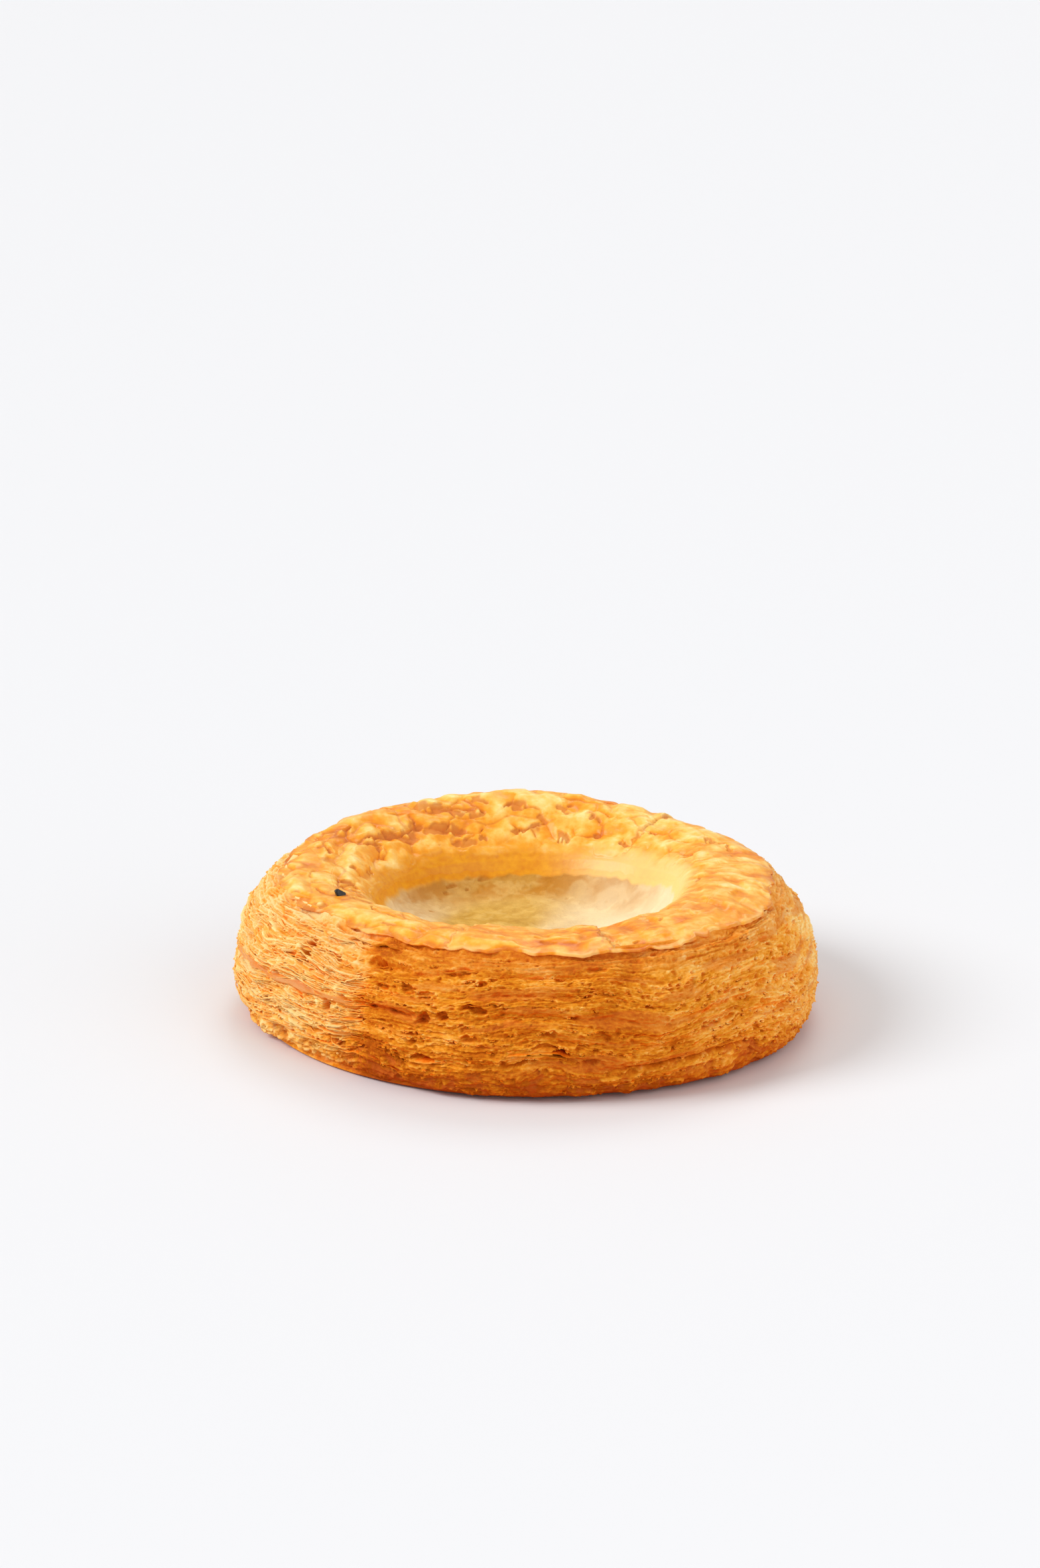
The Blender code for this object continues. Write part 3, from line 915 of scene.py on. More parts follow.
def make_flakes(material):
    flakes = pick_flakes(random.Random(37))
    mesh = thin_grid(3, 2)
    layers = new_layers(mesh, DOUGH_LOOKS)
    for vertex, number, shape in repeated(mesh, FLAKE_GROUPS, FLAKES_IN_GROUP):
        point, spot, width, reach, curl, thickness, seed = flakes[number]
        ragged = 1 + 0.7 * noise.noise(Vector((2.5 * shape.x, seed, 0.0)))
        bend = curl * shape.y
        out = spot.normal * math.cos(bend) + UP * math.sin(bend)
        side = spot.column.tangent * (shape.x * width * (1 - 0.45 * shape.y**2))
        lift = UP * (0.12 * noise.noise(Vector((1.5 * shape.x, seed, 4.0))) + thickness * (shape.z - 0.5))
        vertex.co = point - 0.25 * spot.normal + side + out * ((0.25 + reach) * shape.y * ragged) + lift
        vertex.co.z = max(LOOSE_BOTTOM, vertex.co.z)
        keep(vertex, layers, (0.0, 0.1 + 0.3 * shape.y, 0.0, 0.6, spot.column.bake, spot.level))
    return finish_piece(mesh, "lip_flakes", material)


# Small crumbs caught in the open layers
CRUMB_GROUPS = 20
CRUMBS_IN_GROUP = 22
# A browned crumb stuck low on the right: angle, level and size
BROWN_CRUMB = (322.5, 5.0, 0.75)


def make_crumbs(material):
    draw = random.Random(53)
    crumbs = []
    while len(crumbs) < CRUMB_GROUPS * CRUMBS_IN_GROUP:
        column = column_at(round(draw.uniform(0, 360), 2))
        if draw.random() > 0.01 + column.openness**2:
            continue
        point, spot, _looks = wall_point(column, draw.uniform(1.5, 25.2))
        crumbs.append((point, spot, draw.uniform(0.08, 0.26), draw.uniform(0, 90), draw.random()))
    angle, level, size = BROWN_CRUMB
    point, spot, _looks = wall_point(column_at(angle), level)
    crumbs[0] = (point, spot, size, 0.0, -2.0)
    mesh = bmesh.new()
    bmesh.ops.create_icosphere(mesh, subdivisions=1, radius=1.0)
    layers = new_layers(mesh, DOUGH_LOOKS)
    for vertex, number, shape in repeated(mesh, CRUMB_GROUPS, CRUMBS_IN_GROUP):
        point, spot, size, seed, pale = crumbs[number]
        lumpy = shape * (size * (1 + 0.6 * noise.noise(1.3 * shape + Vector((seed, 0.0, 0.0)))))
        vertex.co = point + Vector((lumpy.x * 1.3, lumpy.y * 1.3, lumpy.z * 0.8))
        vertex.co.z = max(LOOSE_BOTTOM, vertex.co.z)
        keep(vertex, layers, (0.0, 0.05 + 0.35 * pale, max(0.0, -pale), 0.5, spot.column.bake, spot.level))
    return finish_piece(mesh, "crumbs", material)


# --------------------------------------------------------------------------------------------------
# The glazed crust
# --------------------------------------------------------------------------------------------------

# The crust is two pieces, each from one share of the way over the rim to another
CRUST_PARTS = [("outer_crust", 0.0, 0.5), ("inner_crust", 0.5, 1.0)]
CRUST_WEDGES = 42
CRUST_WEDGE_COLUMNS = 30
CRUST_ROWS = 56
UNDER_ROWS = 4
UNDER_SINK = 1.3
EDGE_ROWS = 5
EDGE_HALF = 0.22
LIP_ROWS = 12
# The lip's length as it is spun, before each column gives its own
LIP_LENGTH = 0.8
LIP_SINK = 0.06
LIP_OVER = -0.03
CRUST_TUCK = 0.4

# How far the crust's edge stands out past the rim, how blistered the crust is, how dark it is baked, and how
# much its streaks run outwards and not round the pastry
CRUST_REACH = [0.7, 0.4, 0.3, 0.3, 0.3, 0.7, 1.0, 1.1]
BLISTERED = [0.1, 0.5, 0.95, 1.0, 1.0, 0.6, 0.2, 0.1]
CRUST_BAKE = [0.38, 0.36, 0.44, 0.48, 0.42, 0.44, 0.58, 0.5]
OUTWARD = [1.0, 0.5, 0.2, 0.2, 0.2, 0.2, 0.1, 0.4]
BACK = [0.1, 0.6, 1.0, 0.9, 0.3, 0.0, 0.0, 0.0]
# On the front right the top sheet ends sooner, and the sheet under it shows: from this angle on
UNDER_SHEET_START = 309
UNDER_SHEET_END = 332
UNDER_SHEET_STEP = 0.9

PLATE_LENGTH = 8.0
PLATE_WIDTH = 4.4
PUFF_RISE = 0.6
PLATE_LIFT = 0.12
SOFT_RISE = 0.42
FLOW_RISE = 0.2
SHEET_RISE = 0.26
GAP_DEPTH = 0.3
STEP_SOFT = 0.8
DROPLET_RISE = 0.42
# Places where the top sheet is missing: angle, radius, half length round the ring, half width and depth
MISSING = [
    (203.9, 36.5, 1.8, 0.9, 0.12),
    (224.5, 39.6, 5.0, 0.6, 0.3),
    (118.5, 34.9, 4.0, 1.2, 0.35),
    (112.5, 31.9, 2.6, 0.8, 0.3),
    (105.6, 37.0, 1.6, 0.8, 0.3),
    (80.2, 38.2, 1.3, 0.7, 0.3),
    (289.2, 40.4, 0.8, 1.3, 0.4),
]

# Round the seed the crust is nearly flat: the middle and the width of that part, by angle and by radius
CALM_ANGLE = (206, 14)
CALM_RADIUS = (37.0, 5.5)

# Patterns of the crust, as the waves that `pattern` sums
EDGE_WAVES = [(1.2, 13.0, 1.0, 2.0), (1.0, 5.0, 1.0, 3.0), (0.7, 2.2, 1.0, 6.0), (0.2, 0.8, 1.0, 8.0)]
GLAZE_WAVES = [(0.9, 5.0, 1.0, 31.0), (0.4, 1.9, 1.0, 37.0)]
STREAKS_ROUND = [(1.0, 9.0, 2.2, 63.0), (0.5, 4.0, 0.9, 65.0)]
STREAKS_OUTWARD = [(1.0, 2.4, 8.0, 64.0), (0.5, 1.0, 4.0, 68.0)]
THIN_SHEETS = [(0.8, 11.0, 4.5, 57.0), (0.25, 2.0, 1.2, 59.0)]
SHEETS_SHOW = [(1.0, 12.0, 7.0, 58.0)]
PLATES_JOINED = [(1.0, 9.0, 6.0, 46.0)]
SOFT_SWELLS = [(1.0, 3.4, 2.6, 43.0), (0.4, 1.6, 1.3, 44.0)]
SKIN = [(1.0, 5.2, 2.6, 45.0), (0.35, 1.2, 0.9, 49.0)]
CREASES_SHOW = [(1.0, 6.0, 4.0, 42.0)]
EDGE_CHIPS = [(1.0, 3.0, 2.0, 71.0)]
STEP_TEARS = [
    (STEP_TEAR, STEP_TEAR_SIZE, STEP_TEAR_SIZE, TEAR_SHIFT),
    (1.8, 1.3, 1.3, TEAR_SHIFT),
    (1.0, 0.6, 0.6, TEAR_SHIFT),
]
PLATE_SHIFT = 41.0
RING_RADIUS = 38.0


def ring_place(column, reach):
    """A place for the crust's patterns, in millimetres round the pastry and in from the crust's edge."""
    return RING_RADIUS * column.out + reach * UP


def crust_edge_reach(column):
    """How far the crust's torn outer edge stands out past the rim."""
    angle = column.angle
    edge = ring_place(column, 0.0)
    reach = by_direction(CRUST_REACH, angle)
    under = ease(angle, UNDER_SHEET_START - 0.4, UNDER_SHEET_START + 0.4)
    reach -= UNDER_SHEET_STEP * under * (1 - ease(angle, UNDER_SHEET_START + 5, UNDER_SHEET_END))
    return reach + pattern(edge, EDGE_WAVES)


def glaze_end_at(column):
    """How far down the hollow's wall the glaze runs before it ends, in millimetres."""
    ragged = pattern(ring_place(column, 0.0), GLAZE_WAVES)
    return max(column.glaze_fade + 0.4, by_direction(GLAZE_END, column.angle) + ragged)


def crust_step(column, place, share):
    """The height of the overlapping sheets at a place, and how near the top and the foot of a torn edge it
    is."""
    height = 0.0
    top = 0.0
    foot = 0.0
    tear = pattern(place, STEP_TEARS)
    for at, step in CRUST_STEPS:
        past = turn_between(column.angle, at) + tear
        if at == CROSSING_STEP:
            step *= 0.6 - 1.2 * ease(share, 0.45, 0.9)
        if 0 <= past <= STEP_LENGTH:
            height += step * ease(past, 0.0, STEP_SOFT) * (1 - ease(past, 0, STEP_LENGTH))
        top = max(top, bump(past, STEP_SOFT, 0.6))
        foot = max(foot, bump(past, -0.2, 0.4))
    return height, top, foot


def missing_sheet(column, radius, warp):
    """How much a place is where the top sheet is missing, and how deep it is there."""
    missing = 0.0
    deepest = 0.0
    for angle, at_radius, half_length, half_width, depth in MISSING:
        turn = turn_between(column.angle, angle)
        if abs(turn) < 12:
            across = (math.radians(turn) * at_radius + 0.5 * warp.x) / half_length
            off = math.hypot(across, (radius - at_radius + 0.5 * warp.z) / half_width)
            share = 1 - ease(off, 0.85, 1.05)
            missing = max(missing, share)
            deepest = max(deepest, share * depth)
    return missing, deepest


def smooth_skin(column, at):
    """The relief of the smooth crust, how near the edge of a thin sheet is, and how high its streaks are. The
    streaks flow round the pastry or outwards."""
    flow = blend(pattern(at, STREAKS_ROUND), pattern(at, STREAKS_OUTWARD), column.outward)
    part = pattern(at, THIN_SHEETS) % 1
    shows = ease(pattern(at, SHEETS_SHOW), -0.15, 0.15)
    rise = ease(part, 0.0, 0.08)
    relief = FLOW_RISE * flow + SHEET_RISE * shows * (rise - part - 0.1)
    return relief, shows * rise * (1 - ease(part, 0.08, 0.22)), flow


def plates_at(at, across, up, shift):
    """Plates that meet along creases: how far a place is from its plate's edge, as a share of their size,
    and the plate's own number from 0 to 1."""
    _at, distances, _nearest, own = scattered_points(at, across, up, shift)
    return distances[1] - distances[0], own


def blistered_skin(at, blistered):
    """The relief of the blistered crust, how much a place is a crease, how much the skin has torn there, and
    how pale its plate is."""
    edge, own = plates_at(at, PLATE_LENGTH, PLATE_WIDTH, PLATE_SHIFT)
    edge = blend(edge, 0.5, ease(pattern(at, PLATES_JOINED), -0.1, 0.25))
    puffed = math.sqrt(1 - (1 - min(1.0, edge / 0.45)) ** 2) - 0.8
    soft = pattern(at, SOFT_SWELLS)
    skin = pattern(at, SKIN) + 0.4 * min(1.0, edge / 0.4) - 0.2
    torn_at = blend(-0.8, -0.42, blistered)
    gap = 1 - ease(skin, torn_at, torn_at + 0.12)
    crease = ease(pattern(at, CREASES_SHOW), -0.3, 0.05) * (1 - ease(edge, 0.0, 0.13))
    return PUFF_RISE * puffed + SOFT_RISE * soft + PLATE_LIFT * (own - 0.5), crease, gap, own


def crust_look(column, radius, place, distance):
    """The crust's relief, and its looks: how much it is a gap, high, torn, a droplet and a crease. High
    carries a painted highlight, and crease partly painted shade.
    """
    share = distance / CRUST.length
    ring = ring_place(column, distance)
    warp = 1.1 * noise.noise_vector(ring / 6.0) + 0.3 * noise.noise_vector(ring / 1.5)
    at = ring + warp
    blistered = column.blistered * (1 - ease(share, 0.72, 0.95))
    rounded = 0.13 * (1 - blistered)
    blister = grain(place, BLISTER_SIZE, BLISTER_SIZE, BLISTER_SHIFT)
    swell = min(1.0, BLISTER_STEEPNESS * math.hypot(blister, rounded))
    fade = ease(share, 0.0, 0.12) * (1 - 0.7 * ease(share, 0.75, 0.9)) * (1 - ease(share, 0.9, 1.0))
    step, step_top, step_foot = crust_step(column, place, share)

    rough, crease, gap, own_plate = blistered_skin(at, blistered)
    smooth, sheet_edge, flow = smooth_skin(column, at)
    missing, depth = missing_sheet(column, radius, 0.8 * noise.noise_vector(ring / 1.2))
    calm = 1 - 0.95 * bump(column.angle, *CALM_ANGLE) * bump(radius, *CALM_RADIUS)
    distance_to, _above, own = scatter(at, 1.6, 1.6, 47.0)
    droplet = (1 - ease(distance_to, 0.2, 0.45)) * max(gap, missing) * ease(own, 0.45, 0.5)
    _distance, _above, own_sheet = scatter(at, 5.0, 2.6, 51.0)
    own_tone = blend(own_sheet, own_plate, blistered)

    still = 1 - ease(share, 0.93, 1.0)
    fine = blend(smooth, rough, blistered) * still
    grit = 0.03 * grain(at, 0.8, 0.8, 69.0) * still
    relief = calm * ((BLISTER_HEIGHT * (0.8 * swell - 0.55) + step) * fade + fine) + grit
    relief += DROPLET_RISE * droplet - GAP_DEPTH * gap * (1 - missing) - depth
    # high is the swell, the streaks' flow and each plate's own tone, less near the outer edge; the material
    # paints it paler as a highlight
    high = 0.5 + blend(0.8 * flow, 1.1 * rough, blistered) + 0.25 * (swell - 0.7) + 0.25 * (own_tone - 0.5)
    high -= 0.35 * (1 - ease(distance, 0.0, 1.6))
    at_edge = 1 - ease(distance + 0.6 * grain(at, 0.9, 0.9, 72.0), 0.2, 1.1)
    chips = pattern(at, EDGE_CHIPS)
    torn = max(step_top, 0.8 * sheet_edge * (1 - blistered), at_edge * ease(chips, 0.0, 0.2))
    # crease is partly painted shade: it darkens the foot of torn steps and the low ground between swells,
    # besides the crust's own browned creases
    crease = max(step_foot, blistered * max(crease, 0.6 * (1 - ease(swell, 0.05, 0.14)) * fade))
    crease = max(crease, 0.7 * at_edge * ease(-chips, 0.1, 0.3))
    return relief, (max(gap, missing) * (1 - droplet), min(1.0, max(0.0, high)), torn, droplet, crease)


def crust_profile(start, end):
    """The rows of a part of the crust: a point to spin, the distance along the crust, how far under its
    surface the row lies, and the kind of row. A row of the lip has the share of the way along the lip in
    place of the distance, because the lip ends where each column's glaze does."""
    low, high = start * CRUST.length, end * CRUST.length
    rows = []
    for row in range(UNDER_ROWS + 1):
        distance = blend(high - 0.5, low + 1.5, row / UNDER_ROWS)
        point, normal = CRUST.at(distance)
        rows.append((point - UNDER_SINK * normal, distance, UNDER_SINK, "under"))
    if start == 0:
        for row in range(EDGE_ROWS):
            turn = math.radians(-130 + 120 * row / (EDGE_ROWS - 1))
            rim = Vector(CRUST_RUN[0])
            rows.append((rim + EDGE_HALF * Vector((math.cos(turn), math.sin(turn) - 1)), 0.0, 0.0, "edge"))
    else:
        rows.append((CRUST.at(low)[0] - Vector((0.0, CRUST_TUCK)), low - CRUST_TUCK, CRUST_TUCK, "top"))
    for row in range(CRUST_ROWS + 1):
        distance = blend(low, high, row / CRUST_ROWS)
        rows.append((CRUST.at(distance)[0], distance, 0.0, "top"))
    if end == 1:
        for row in range(1, LIP_ROWS + 1):
            share = row / LIP_ROWS
            sink = blend(LIP_OVER, LIP_SINK, ease(share, 0.75, 1.0))
            rows.append((HOLLOW.at(LIP_LENGTH * share)[0], share, sink, "lip"))
    else:
        rows.append((CRUST.at(high)[0] - Vector((0.0, CRUST_TUCK)), high + CRUST_TUCK, CRUST_TUCK, "top"))
    return rows


def crust_vertex(column, point, distance, sink, kind):
    """Where a vertex of the crust lies, and its looks."""
    if kind == "lip":
        distance *= max(0.2, column.glaze_end - column.glaze_fade - 0.35)
        place, normal = HOLLOW.at(distance)
        spread, lift = settle_hollow(column, distance / HOLLOW.length)
        turned = column.turned(place)
        relief, _looks = hollow_look(column, turned, distance)
        out = column.turned(normal)
        moved = turned + spread * column.out + lift * UP + (relief - sink) * out
        return moved, (0.0, 0.5, 0.0, 0.0, 0.0)
    place, normal = CRUST.at(distance)
    spread, lift = settle_crust(column, distance / CRUST.length)
    if kind == "edge":
        place = point
    turned = column.turned(place)
    relief, looks = crust_look(column, place.x, turned, distance)
    relief *= {"under": 0.0, "edge": 0.3, "top": 1.0}[kind]
    overhang = column.edge_reach * (1 - ease(distance, 0.0, 2.5))
    moved = (spread + overhang) * column.out + (lift - 0.3 * overhang) * UP
    return turned + moved + (relief - sink) * column.turned(normal), looks


def make_crust(name, start, end, material):
    """A part of the crust: a thin sheet over the wall's top, whose inner edge lies on the hollow's dough."""
    profile = crust_profile(start, end)
    mesh, row_layer = spun([row[0] for row in profile], CRUST_WEDGES, CRUST_WEDGE_COLUMNS, closed=True)
    layers = new_layers(mesh, ("gap", "high", "torn", "droplet", "crease", "way", "bake", "pale"))
    for vertex in mesh.verts:
        point, distance, sink, kind = profile[vertex[row_layer]]
        column = column_of(vertex, CRUST_WEDGES * CRUST_WEDGE_COLUMNS)
        vertex.co, looks = crust_vertex(column, point, distance, sink, kind)
        way = 1.0 + 0.2 * distance if kind == "lip" else distance / CRUST.length
        keep(vertex, layers, (*looks, way, column.crust_bake, column.pale))
    return finish_piece(mesh, name, material)


# --------------------------------------------------------------------------------------------------
# The soft dough of the hollow
# --------------------------------------------------------------------------------------------------

HOLLOW_WEDGES = 28
HOLLOW_WEDGE_COLUMNS = 28
HOLLOW_ROWS = 112
# How pale the hollow and the glaze are, partly their own tone and partly painted light on the hollow's lit
# right wall, and how far the crust's glaze runs down its wall
PALE_AND_PAINTED_LIGHT = [1.0, 0.7, 0.04, 0.0, 0.1, 0.2, 0.3, 0.8]
GLAZE_END = [2.4, 3.2, 3.6, 3.3, 3.0, 2.4, 2.1, 1.8]
GLAZE_FADE = [0.8, 0.5, 0.35, 1.1, 1.8, 1.5, 1.2, 0.9]
GLAZE_RISE = 0.1
# Brown patches of the hollow's far wall: angle, distance down from the mouth, half length and half width
PATCHES = [(108.6, 3.9, 1.3, 0.6), (124.6, 5.0, 1.1, 0.5), (129.6, 6.1, 0.6, 0.4), (118.0, 6.2, 0.7, 0.35)]
HOLLOW_UNDERSIDE = [(31.0, 20.6), (29.0, 16.0), (22.0, 12.8), (10.0, 12.0), (0.0, 12.0)]
# Patterns of the hollow, as the waves that `pattern` sums
STAIN_PATCHES = [(1.0, 5.0, 3.2, 84.0), (0.35, 1.6, 1.1, 86.0)]
FLOUR_PATCHES = [(1.0, 5.0, 3.0, 88.0), (0.5, 1.2, 0.9, 89.0)]
SMALL_LUMPS = [(0.12, 2.6, 2.6, 97.0), (0.05, 1.0, 1.0, 99.0)]


def patch_at(column, distance, warp):
    """How much a place of the hollow is in a brown patch."""
    most = 0.0
    for angle, at_distance, half_length, half_width in PATCHES:
        across = (0.45 * turn_between(column.angle, angle) + 0.6 * warp.x) / half_length
        off = math.hypot(across, (distance - at_distance + 0.6 * warp.z) / half_width)
        most = max(most, 1 - ease(off, 0.8, 1.15))
    return most


def hollow_look(column, place, distance):
    """The hollow's relief, and its looks: how glazed, pitted, stained and floury it is. The stain is partly
    painted shade on the far wall.
    """
    share = distance / HOLLOW.length
    on_wall = 1 - ease(share, 0.28, 0.45)
    warp = 0.9 * noise.noise_vector(place / 2.6) + 0.3 * noise.noise_vector(place / 0.8)
    at = place + warp
    end = column.glaze_end + 0.4 * warp.z
    glaze = 1 - ease(distance, end - 0.8 * column.glaze_fade, end + 0.5 * column.glaze_fade)
    stained = ease(pattern(at, STAIN_PATCHES), -0.3, 0.3)
    # Partly painted shade: the whole far wall is darkened, and more where the dough's own patches are
    stain_and_shade = blend(0.45, 1.0, stained) * column.back * (1 - ease(share, 0.2, 0.42))
    distance_to, _above, own = scatter(at, 2.2, 1.7, 81.0)
    pit = (1 - ease(distance_to, 0.1, 0.3)) * ease(own, 0.8, 0.84) * on_wall * (1 - glaze) * (1 - column.pale)
    pit = max(pit, patch_at(column, distance, warp))
    flour = ease(pattern(at, FLOUR_PATCHES), 0.0, 0.3) * blend(0.5, 1.0, on_wall)
    lumps = HOLLOW_DEPTH * grain(place, HOLLOW_LUMP, HOLLOW_LUMP, HOLLOW_SHIFT) * ease(share, 0.0, 0.2)
    small = pattern(place, SMALL_LUMPS)
    bare = lumps + (small + 0.12 * flour - 0.12 * stain_and_shade - 0.3 * pit) * (1 - glaze) + GLAZE_RISE * glaze
    return bare - GLAZE_RISE, (glaze, pit, stain_and_shade, flour)


def make_hollow(material):
    rows = []
    for row in range(HOLLOW_ROWS + 1):
        distance = HOLLOW.length * row / HOLLOW_ROWS
        rows.append((HOLLOW.at(distance)[0], distance))
    points = [point for point, _distance in reversed(rows)] + [Vector(point) for point in HOLLOW_UNDERSIDE]
    mesh, row_layer = spun(points, HOLLOW_WEDGES, HOLLOW_WEDGE_COLUMNS, closed=False)
    layers = new_layers(mesh, ("glaze", "pit", "stain_and_shade", "flour", "pale"))
    for vertex in mesh.verts:
        number = HOLLOW_ROWS - vertex[row_layer]
        column = column_of(vertex, HOLLOW_WEDGES * HOLLOW_WEDGE_COLUMNS)
        if number < 0:
            radius, height = points[vertex[row_layer]]
            spread, lift = settle_hollow(column, 0.0)
            held = ease(height, 13, 20)
            vertex.co = (radius + spread * held) * column.out + (height + (lift - 0.6) * held) * UP
            continue
        _point, distance = rows[number]
        place, normal = HOLLOW.at(distance)
        turned = column.turned(place)
        spread, lift = settle_hollow(column, distance / HOLLOW.length)
        relief, looks = hollow_look(column, turned, distance)
        vertex.co = turned + spread * column.out + lift * UP + relief * column.turned(normal)
        share = distance / HOLLOW.length
        pale = column.pale * (1 - 0.3 * ease(share, 0.4, 0.8))
        # Painted light: the hollow's left wall, in shade, is painted paler, for light that goes through the
        # dough
        pale += 0.8 * bump(column.angle, 190, 50) * (1 - ease(share, 0.3, 0.5)) * (1 - looks[0])
        keep(vertex, layers, (*looks, min(1.0, pale)))
    return finish_piece(mesh, "soft_hollow", material)


# --------------------------------------------------------------------------------------------------
# Materials
# --------------------------------------------------------------------------------------------------


def colour(red, green, blue):
    """A colour given as it shows on a screen, 0 to 255, in Blender's linear light."""
    linear = []
    for part in (red, green, blue):
        share = part / 255
        linear.append(share / 12.92 if share <= 0.04045 else ((share + 0.055) / 1.055) ** 2.4)
    return (*linear, 1.0)


class Finish:
    """A material being put together: a method adds nodes and returns the output that the next one reads."""

    def __init__(self, name):
        self.material = bpy.data.materials.new(name)
        self.material.use_nodes = True
        self.tree = self.material.node_tree
        self.shader = self.tree.nodes["Principled BSDF"]
        self.place = self.tree.nodes.new("ShaderNodeTexCoord").outputs["Object"]

    def link(self, source, socket):
        self.tree.links.new(source, socket)

    def attribute(self, name):
        node = self.tree.nodes.new("ShaderNodeAttribute")
        node.attribute_name = name
        return node.outputs["Fac"]

    def share(self, name, weight):
        """A share of the value that the mesh keeps under a name."""
        return self.math("MULTIPLY", self.attribute(name), weight)

    def around(self, source):
        """A source that has 0.5 in its middle, as a value round 0."""
        return self.math("SUBTRACT", source, 0.5)

    def layered_place(self):
        """A place whose height is the level in the dough's layers, so that a pattern follows them."""
        apart = self.tree.nodes.new("ShaderNodeSeparateXYZ")
        self.link(self.place, apart.inputs["Vector"])
        together = self.tree.nodes.new("ShaderNodeCombineXYZ")
        self.link(apart.outputs["X"], together.inputs["X"])
        self.link(apart.outputs["Y"], together.inputs["Y"])
        self.link(self.share("level", MM), together.inputs["Z"])
        return together.outputs["Vector"]

    def noise(self, size, detail=3.0, roughness=0.55, stretch=(1, 1, 1), place=None):
        """Noise whose grain is `size` millimetres, squeezed by `stretch` along each axis."""
        mapping = self.tree.nodes.new("ShaderNodeMapping")
        mapping.inputs["Scale"].default_value = stretch
        self.link(place or self.place, mapping.inputs["Vector"])
        node = self.tree.nodes.new("ShaderNodeTexNoise")
        node.inputs["Scale"].default_value = 1 / (size * MM)
        node.inputs["Detail"].default_value = detail
        node.inputs["Roughness"].default_value = roughness
        self.link(mapping.outputs["Vector"], node.inputs["Vector"])
        return node.outputs["Fac"]

    def ramp(self, source, stops):
        """A colour for each value of the source, from (value, colour) stops."""
        node = self.tree.nodes.new("ShaderNodeValToRGB")
        elements = node.color_ramp.elements
        while len(elements) < len(stops):
            elements.new(0.5)
        for element, (at, shade) in zip(elements, stops):
            element.position = at
            element.color = shade
        self.link(source, node.inputs["Fac"])
        return node.outputs["Color"]

    def spread(self, source, low, high, to_low=0.0, to_high=1.0):
        """The source's stretch from low to high as a value from to_low to to_high."""
        node = self.tree.nodes.new("ShaderNodeMapRange")
        node.interpolation_type = "SMOOTHSTEP"
        node.inputs["From Min"].default_value = low
        node.inputs["From Max"].default_value = high
        node.inputs["To Min"].default_value = to_low
        node.inputs["To Max"].default_value = to_high
        self.link(source, node.inputs["Value"])
        return node.outputs["Result"]

    def math(self, operation, a, b):
        node = self.tree.nodes.new("ShaderNodeMath")
        node.operation = operation
        for socket, value in zip(node.inputs, (a, b)):
            if isinstance(value, (int, float)):
                socket.default_value = value
            else:
                self.link(value, socket)
        return node.outputs["Value"]

    def sum(self, first, *weighted):
        """The first value plus each (weight, value)."""
        total = first
        for weight, value in weighted:
            total = self.math("ADD", total, self.math("MULTIPLY", value, weight))
        return total

    def mix(self, factor, a, b, kind="MIX"):
        """Colour b over colour a by the factor. Each may be a colour or another node's output."""
        node = self.tree.nodes.new("ShaderNodeMix")
        node.data_type = "RGBA"
        node.blend_type = kind
        for socket, value in ((node.inputs[0], factor), (node.inputs[6], a), (node.inputs[7], b)):
            if isinstance(value, (int, float, tuple)):
                socket.default_value = value
            else:
                self.link(value, socket)
        return node.outputs[2]

    def bump(self, height, depth, before=None):
        """Bump of the given depth in millimetres, on top of another bump."""
        node = self.tree.nodes.new("ShaderNodeBump")
        node.inputs["Strength"].default_value = 1.0
        node.inputs["Distance"].default_value = depth * MM
        self.link(height, node.inputs["Height"])
        if before:
            self.link(before, node.inputs["Normal"])
        return node.outputs["Normal"]

    def yellow_glaze(self):
        """The yellow of the glaze where the crust runs down into the hollow, paler on the pastry's right by
        the pale share, which is partly painted light.
        """
        small = self.noise(1.2, 3.0, 0.55)
        wide = self.noise(3.5, 3.0, 0.55)
        deep = self.ramp(self.sum(small, (0.8, self.around(wide))), [
            (0.1, colour(218, 128, 0)),
            (0.9, colour(242, 170, 14)),
        ])
        return self.mix(self.share("pale", 0.85), deep, colour(255, 228, 152))

    def finish(self, base_colour, roughness, normal, **settings):
        self.link(base_colour, self.shader.inputs["Base Color"])
        if isinstance(roughness, float):
            self.shader.inputs["Roughness"].default_value = roughness
        else:
            self.link(roughness, self.shader.inputs["Roughness"])
        self.link(normal, self.shader.inputs["Normal"])
        for name, value in settings.items():
            self.shader.inputs[name.replace("_", " ")].default_value = value
        return self.material


